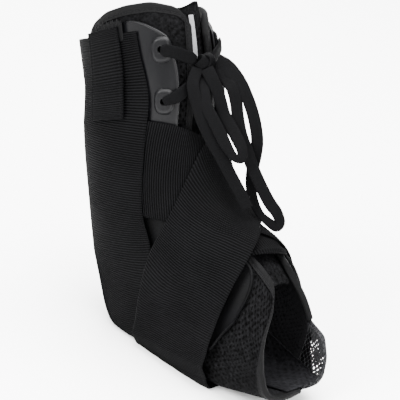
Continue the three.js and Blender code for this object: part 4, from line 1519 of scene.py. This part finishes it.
@dataclass
class Front:
    """The tongue, the blank tab on it and the net edging at the toe."""

    panels: Panels
    tongue_thickness: float = 3.0
    tongue_gap: float = 1.2
    tongue_size: tuple = (62.0, 190.0)
    tongue_rib: float = 0.021
    tongue_rib_height: float = 0.22
    tongue_band: float = 0.3
    tongue_rows: dict = field(default_factory=lambda: table("station half", [
        (0.92, 0.19), (1.2, 0.21), (3.0, 0.21), (6.0, 0.19), (8.4, 0.17), (10.1, 0.13),
    ]))
    patch: tuple = (1.15, 2.25, -0.05, -0.005)
    patch_size: tuple = (8.0, 28.0)
    patch_thickness: float = 0.6
    sole_size: tuple = (48.0, 62.0)
    sole_stations: tuple = (9.3, 12.9)
    sole_turn: float = 1.12
    sole_thickness: float = 1.2
    lining_edge: dict = field(default_factory=lambda: table("station turn", [
        (9.3, 0.5), (10.5, 0.59), (11, 0.62), (11.5, 0.65), (12, 0.69), (12.5, 0.74), (13, 0.8),
    ]))
    toe_size: tuple = (60.0, 18.0)
    toe_turns: tuple = (0.42, 1.02)
    toe_thickness: float = 0.9
    net_turns: tuple = (0.36, 0.93)
    net_gap: float = 0.05
    net_short: float = 0.2
    net_size: tuple = (54.0, 26.0)
    net_layers: tuple = (((5.2, 3.6), -0.7, 21), ((4.1, 4.7), 0.7, 31))
    net_strand: float = 1.6
    net_wander: float = 0.9

    @property
    def tongue_height(self) -> float:
        """Height of the tongue's inner face; it lies inside the panels."""
        return -LAYERS.binding_rise - self.tongue_gap - self.tongue_thickness

    def tongue(self) -> None:
        """Make the padded tongue, ribbed lengthways, with a band across its top."""
        size = self.tongue_size

        def place(u: Array, v: Array, w: Array) -> Array:
            """Place points of the tongue."""
            raised = 0.12 * smooth(0.3, 0.7, u) - 0.2 * smooth(0.72, 1.0, u)
            u, v = dense_ends(u, 0.5), dense_ends(v, 0.3)
            station, half = read_share(self.tongue_rows, v)
            turn = (2 * u - 1) * half
            below = smooth(5.0, 6.0, v * size[1])
            rib = self.tongue_rib_height * np.sin(math.pi * turn / self.tongue_rib) * below
            band = self.tongue_band * (1 - below)
            rough = 0.12 * lumps(FORM.at(station, turn, 0.0), 7, 11)
            height = self.tongue_height + self.tongue_thickness * rounded(u, v, w, size, 1.4)
            height = height + (rib + band + rough - 0.25) * w
            return FORM.at(station - raised * (1 - v) ** 3, turn, height)

        piece = bent_sheet("padded_tongue", 120, 150, size, place)
        add_attribute(piece, "loop", np.full(len(piece.data.vertices), 0.6))
        finish_piece(piece, PADDING, "padding", "tongue")

    def tab(self) -> None:
        """Make the blank grey tab on the tongue."""
        top, bottom, near, far = self.patch
        size = self.patch_size

        def place(u: Array, v: Array, w: Array) -> Array:
            """Place points of the tab."""
            height = self.tongue_height + self.tongue_thickness + LAYERS.seam
            height = height + self.patch_thickness * rounded(u, v, w, size, 0.3)
            return FORM.at(mix(top, bottom, v), mix(near, far, u), height)

        finish_piece(bent_sheet("grey_tab", 16, 50, size, place), PATCH, "patch", "tongue_patch")

    @staticmethod
    def mend_cells(piece: Piece) -> None:
        """Turn a grid's squares into staggered diamond cells.

        Args:
            piece: the grid.
        """
        edit(
            piece,
            lambda: bpy.ops.mesh.select_mode(type="FACE"),
            lambda: bpy.ops.mesh.poke(),
            lambda: bpy.ops.mesh.select_mode(type="EDGE"),
            lambda: bpy.ops.mesh.select_all(action="DESELECT"),
        )
        co = read_points(piece.data)
        for edge in piece.data.edges:
            a, b = (co[i] for i in edge.vertices)
            straight = np.min(np.abs(a - b)[:2]) < 1e-5
            border = np.max(np.abs(a + b - 1)[:2]) > 0.999
            edge.select = bool(straight and not border)
        edit(piece, lambda: bpy.ops.mesh.dissolve_edges(use_verts=False), whole=False)

    def toe_span(self, turn: Array, inwards: float) -> tuple[Array, Array]:
        """Find where the far panel ends and where the toe's edge would be.

        Args:
            turn: turns round the far side.
            inwards: how far inside the panel's edge to begin, as a share down the panel.

        Returns:
            The stations of both.
        """
        edge = float(self.panels.front_edge["turn"][-1])
        down = np.full(len(turn), 1 - inwards)
        start, _ = self.panels.point(Side.FAR, (1 - turn) / (1 - edge), down)
        return start, lookup(turn, self.panels.toe_edge) - self.net_short

    def net_layer(self, pitch: tuple, height: float, seed: int) -> Piece:
        """Knot one layer of the net.

        Args:
            pitch: size of its cells in mm, across and along.
            height: height of its middle above the panels' middle in mm.
            seed: which unevenness.

        Returns:
            The layer.
        """
        size = np.array(self.net_size)
        piece = add_grid("toe_net", *(int(n) for n in np.round(size / pitch)))
        self.mend_cells(piece)
        points = read_points(piece.data) * (*size, 1)
        uneven = [self.net_wander * lumps(points, 5 + k, seed + k) for k in range(2)]
        points[:, :2] += np.stack(uneven, axis=1)
        write_points(piece.data, points)
        modify(piece, "WIREFRAME", thickness=self.net_strand, use_even_offset=False)
        modify(piece, "SUBSURF", levels=1, render_levels=1)
        co = read_points(piece.data)
        u, v = np.clip(co[:, :2] / size, 0, 1).T
        turn = mix(*self.net_turns, u)
        start, end = self.toe_span(turn, self.panels.binding[1] + 2 * self.panels.seam[1])
        height = LAYERS.pad / 2 + height + co[:, 2]
        write_points(piece.data, FORM.at(mix(start + self.net_gap, end, v), turn, height) * MM)
        face_outward(piece)
        smooth_shade(piece, 60)
        return piece

    def net(self) -> None:
        """Lay two layers of net on each other, so that their holes cross."""
        layers = [self.net_layer(*layer) for layer in self.net_layers]
        finish_piece(join("toe_net", layers), NET, "mesh", "toe_mesh")

    def sole_lining(self) -> None:
        """Make the lining that covers the sole inside the toe and ends on the far wall, in lighter
        cloth: painted light on the sole.
        """
        size = self.sole_size

        def place(u: Array, v: Array, w: Array) -> Array:
            """Place points of the sole lining."""
            station = mix(*self.sole_stations, v)
            turn = mix(lookup(station, self.lining_edge), self.sole_turn, dense_ends(u, 0.6))
            rumple = 0.25 * lumps(FORM.at(station, turn, 0.0), 16, 41) * (1 - u)
            height = rumple - 1.0 - 1.1 * np.exp(-u * 9)
            height = height + self.sole_thickness * (rounded(u, v, w, size, 0.7) - 0.5)
            return FORM.at(station, turn, np.minimum(height, -0.15))

        piece = bent_sheet("sole_lining", 60, 70, size, place)
        # The lighter cloth is painted light: the lit sole against the shaded far wall.
        finish_piece(piece, LIT_SOLE_CLOTH, "padding")

    def toe_lining(self) -> None:
        """Make the cloth that backs the inner part of the net."""
        size = self.toe_size

        def place(u: Array, v: Array, w: Array) -> Array:
            """Place points of the toe lining."""
            turn = mix(*self.toe_turns, u)
            start, end = self.toe_span(turn, self.panels.binding[1])
            reach = mix(0.25, 0.7, smooth(0.1, 0.7, u)) + 0.5 * smooth(0.82, 0.95, u)
            station = mix(start - 0.3, mix(start, end, reach), v)
            waved = 0.15 * lumps(FORM.at(station, turn, 0.0), 18, 8) * v
            height = 0.55 + self.toe_thickness * rounded(u, v, w, size, 0.5)
            return FORM.at(station, turn, height + waved)

        piece = bent_sheet("toe_lining", 70, 40, size, place)
        finish_piece(piece, PADDING, "mesh", "toe_mesh")

    def build(self) -> None:
        """Make the tongue, its tab, the net and the lining behind it."""
        self.sole_lining()
        self.toe_lining()
        self.tongue()
        self.tab()
        self.net()


@dataclass
class Studio:
    """The photograph's camera, a pale floor and soft light from all round."""

    azimuth: float = 42.0
    elevation: float = 22.0
    roll: float = 9.5
    target: tuple = (-0.0137, 0.0, 0.1006)
    distance: float = 1.0
    lens: float = 136.8
    aim: tuple = (0.0, 0.0, 0.1)
    surround: float = 1.1
    lamps: tuple = (
        ("key", (-0.35, -1.5, 1.3), 115, 0.9),
        ("front fill", (1.7, -0.6, 0.7), 80, 1.2),
        ("top", (-0.1, 0.2, 2.4), 520, 2.6),
        ("back", (-1.2, 1.0, 1.4), 40, 1.2),
    )

    def camera(self) -> None:
        """Set the camera where the photograph was taken from."""
        a, e, r = (math.radians(x) for x in (self.azimuth, self.elevation, self.roll))
        back = Vector((math.sin(a) * math.cos(e), -math.cos(a) * math.cos(e), math.sin(e)))
        right = Vector((math.cos(a), math.sin(a), 0.0))
        up = back.cross(right)
        turned = right * math.cos(r) + up * math.sin(r)
        upright = up * math.cos(r) - right * math.sin(r)
        data = bpy.data.cameras.new("camera")
        data.lens, data.sensor_width = self.lens, 36.0
        data.clip_start, data.clip_end = 0.05, 50.0
        camera = bpy.data.objects.new("camera", data)
        bpy.context.collection.objects.link(camera)
        place = Vector(self.target) + back * self.distance
        camera.matrix_world = placed(turned, upright, back, place)
        bpy.context.scene.camera = camera

    def floor(self) -> None:
        """Lay the pale floor."""
        bpy.ops.mesh.primitive_plane_add(size=12, location=(0, 0, -0.0002))
        floor = bpy.context.object
        floor.name = "floor"
        made = bpy.data.materials.new("pale floor")
        made.use_nodes = True
        made.node_tree.nodes.clear()
        graph = Graph(made.node_tree)
        look = {"Base Color": colour("#fbfbfb"), "Roughness": 0.9}
        graph.add("OutputMaterial", graph.add("BsdfPrincipled", look))
        floor.data.materials.append(made)

    def light(self) -> None:
        """Hang soft boxes on both sides and over the brace."""
        for name, place, watts, size in self.lamps:
            data = bpy.data.lights.new(name, "AREA")
            data.energy, data.size, data.shape = watts, size, "SQUARE"
            lamp = bpy.data.objects.new(name, data)
            bpy.context.collection.objects.link(lamp)
            way = Vector(self.aim) - Vector(place)
            turned = way.to_track_quat("-Z", "Y").to_matrix().to_4x4()
            lamp.matrix_world = Matrix.Translation(place) @ turned
        world = bpy.data.worlds.new("studio")
        bpy.context.scene.world = world
        world.use_nodes = True
        background = world.node_tree.nodes["Background"]
        background.inputs["Color"].default_value = colour("#ffffff")
        background.inputs["Strength"].default_value = self.surround

    def build(self) -> None:
        """Set the floor and the light; the camera is set first of all."""
        self.floor()
        self.light()


def main() -> None:
    """Build the brace from the laces inwards, then the studio."""
    logging.basicConfig(level=logging.INFO, format="%(name)s: %(message)s")
    pick()
    studio = Studio()
    studio.camera()
    panels = Panels()
    for assembly in (Laces(), panels, Shells(), Straps(), Front(panels), studio):
        assembly.build()
    pick()


if __name__ == "__main__":
    main()
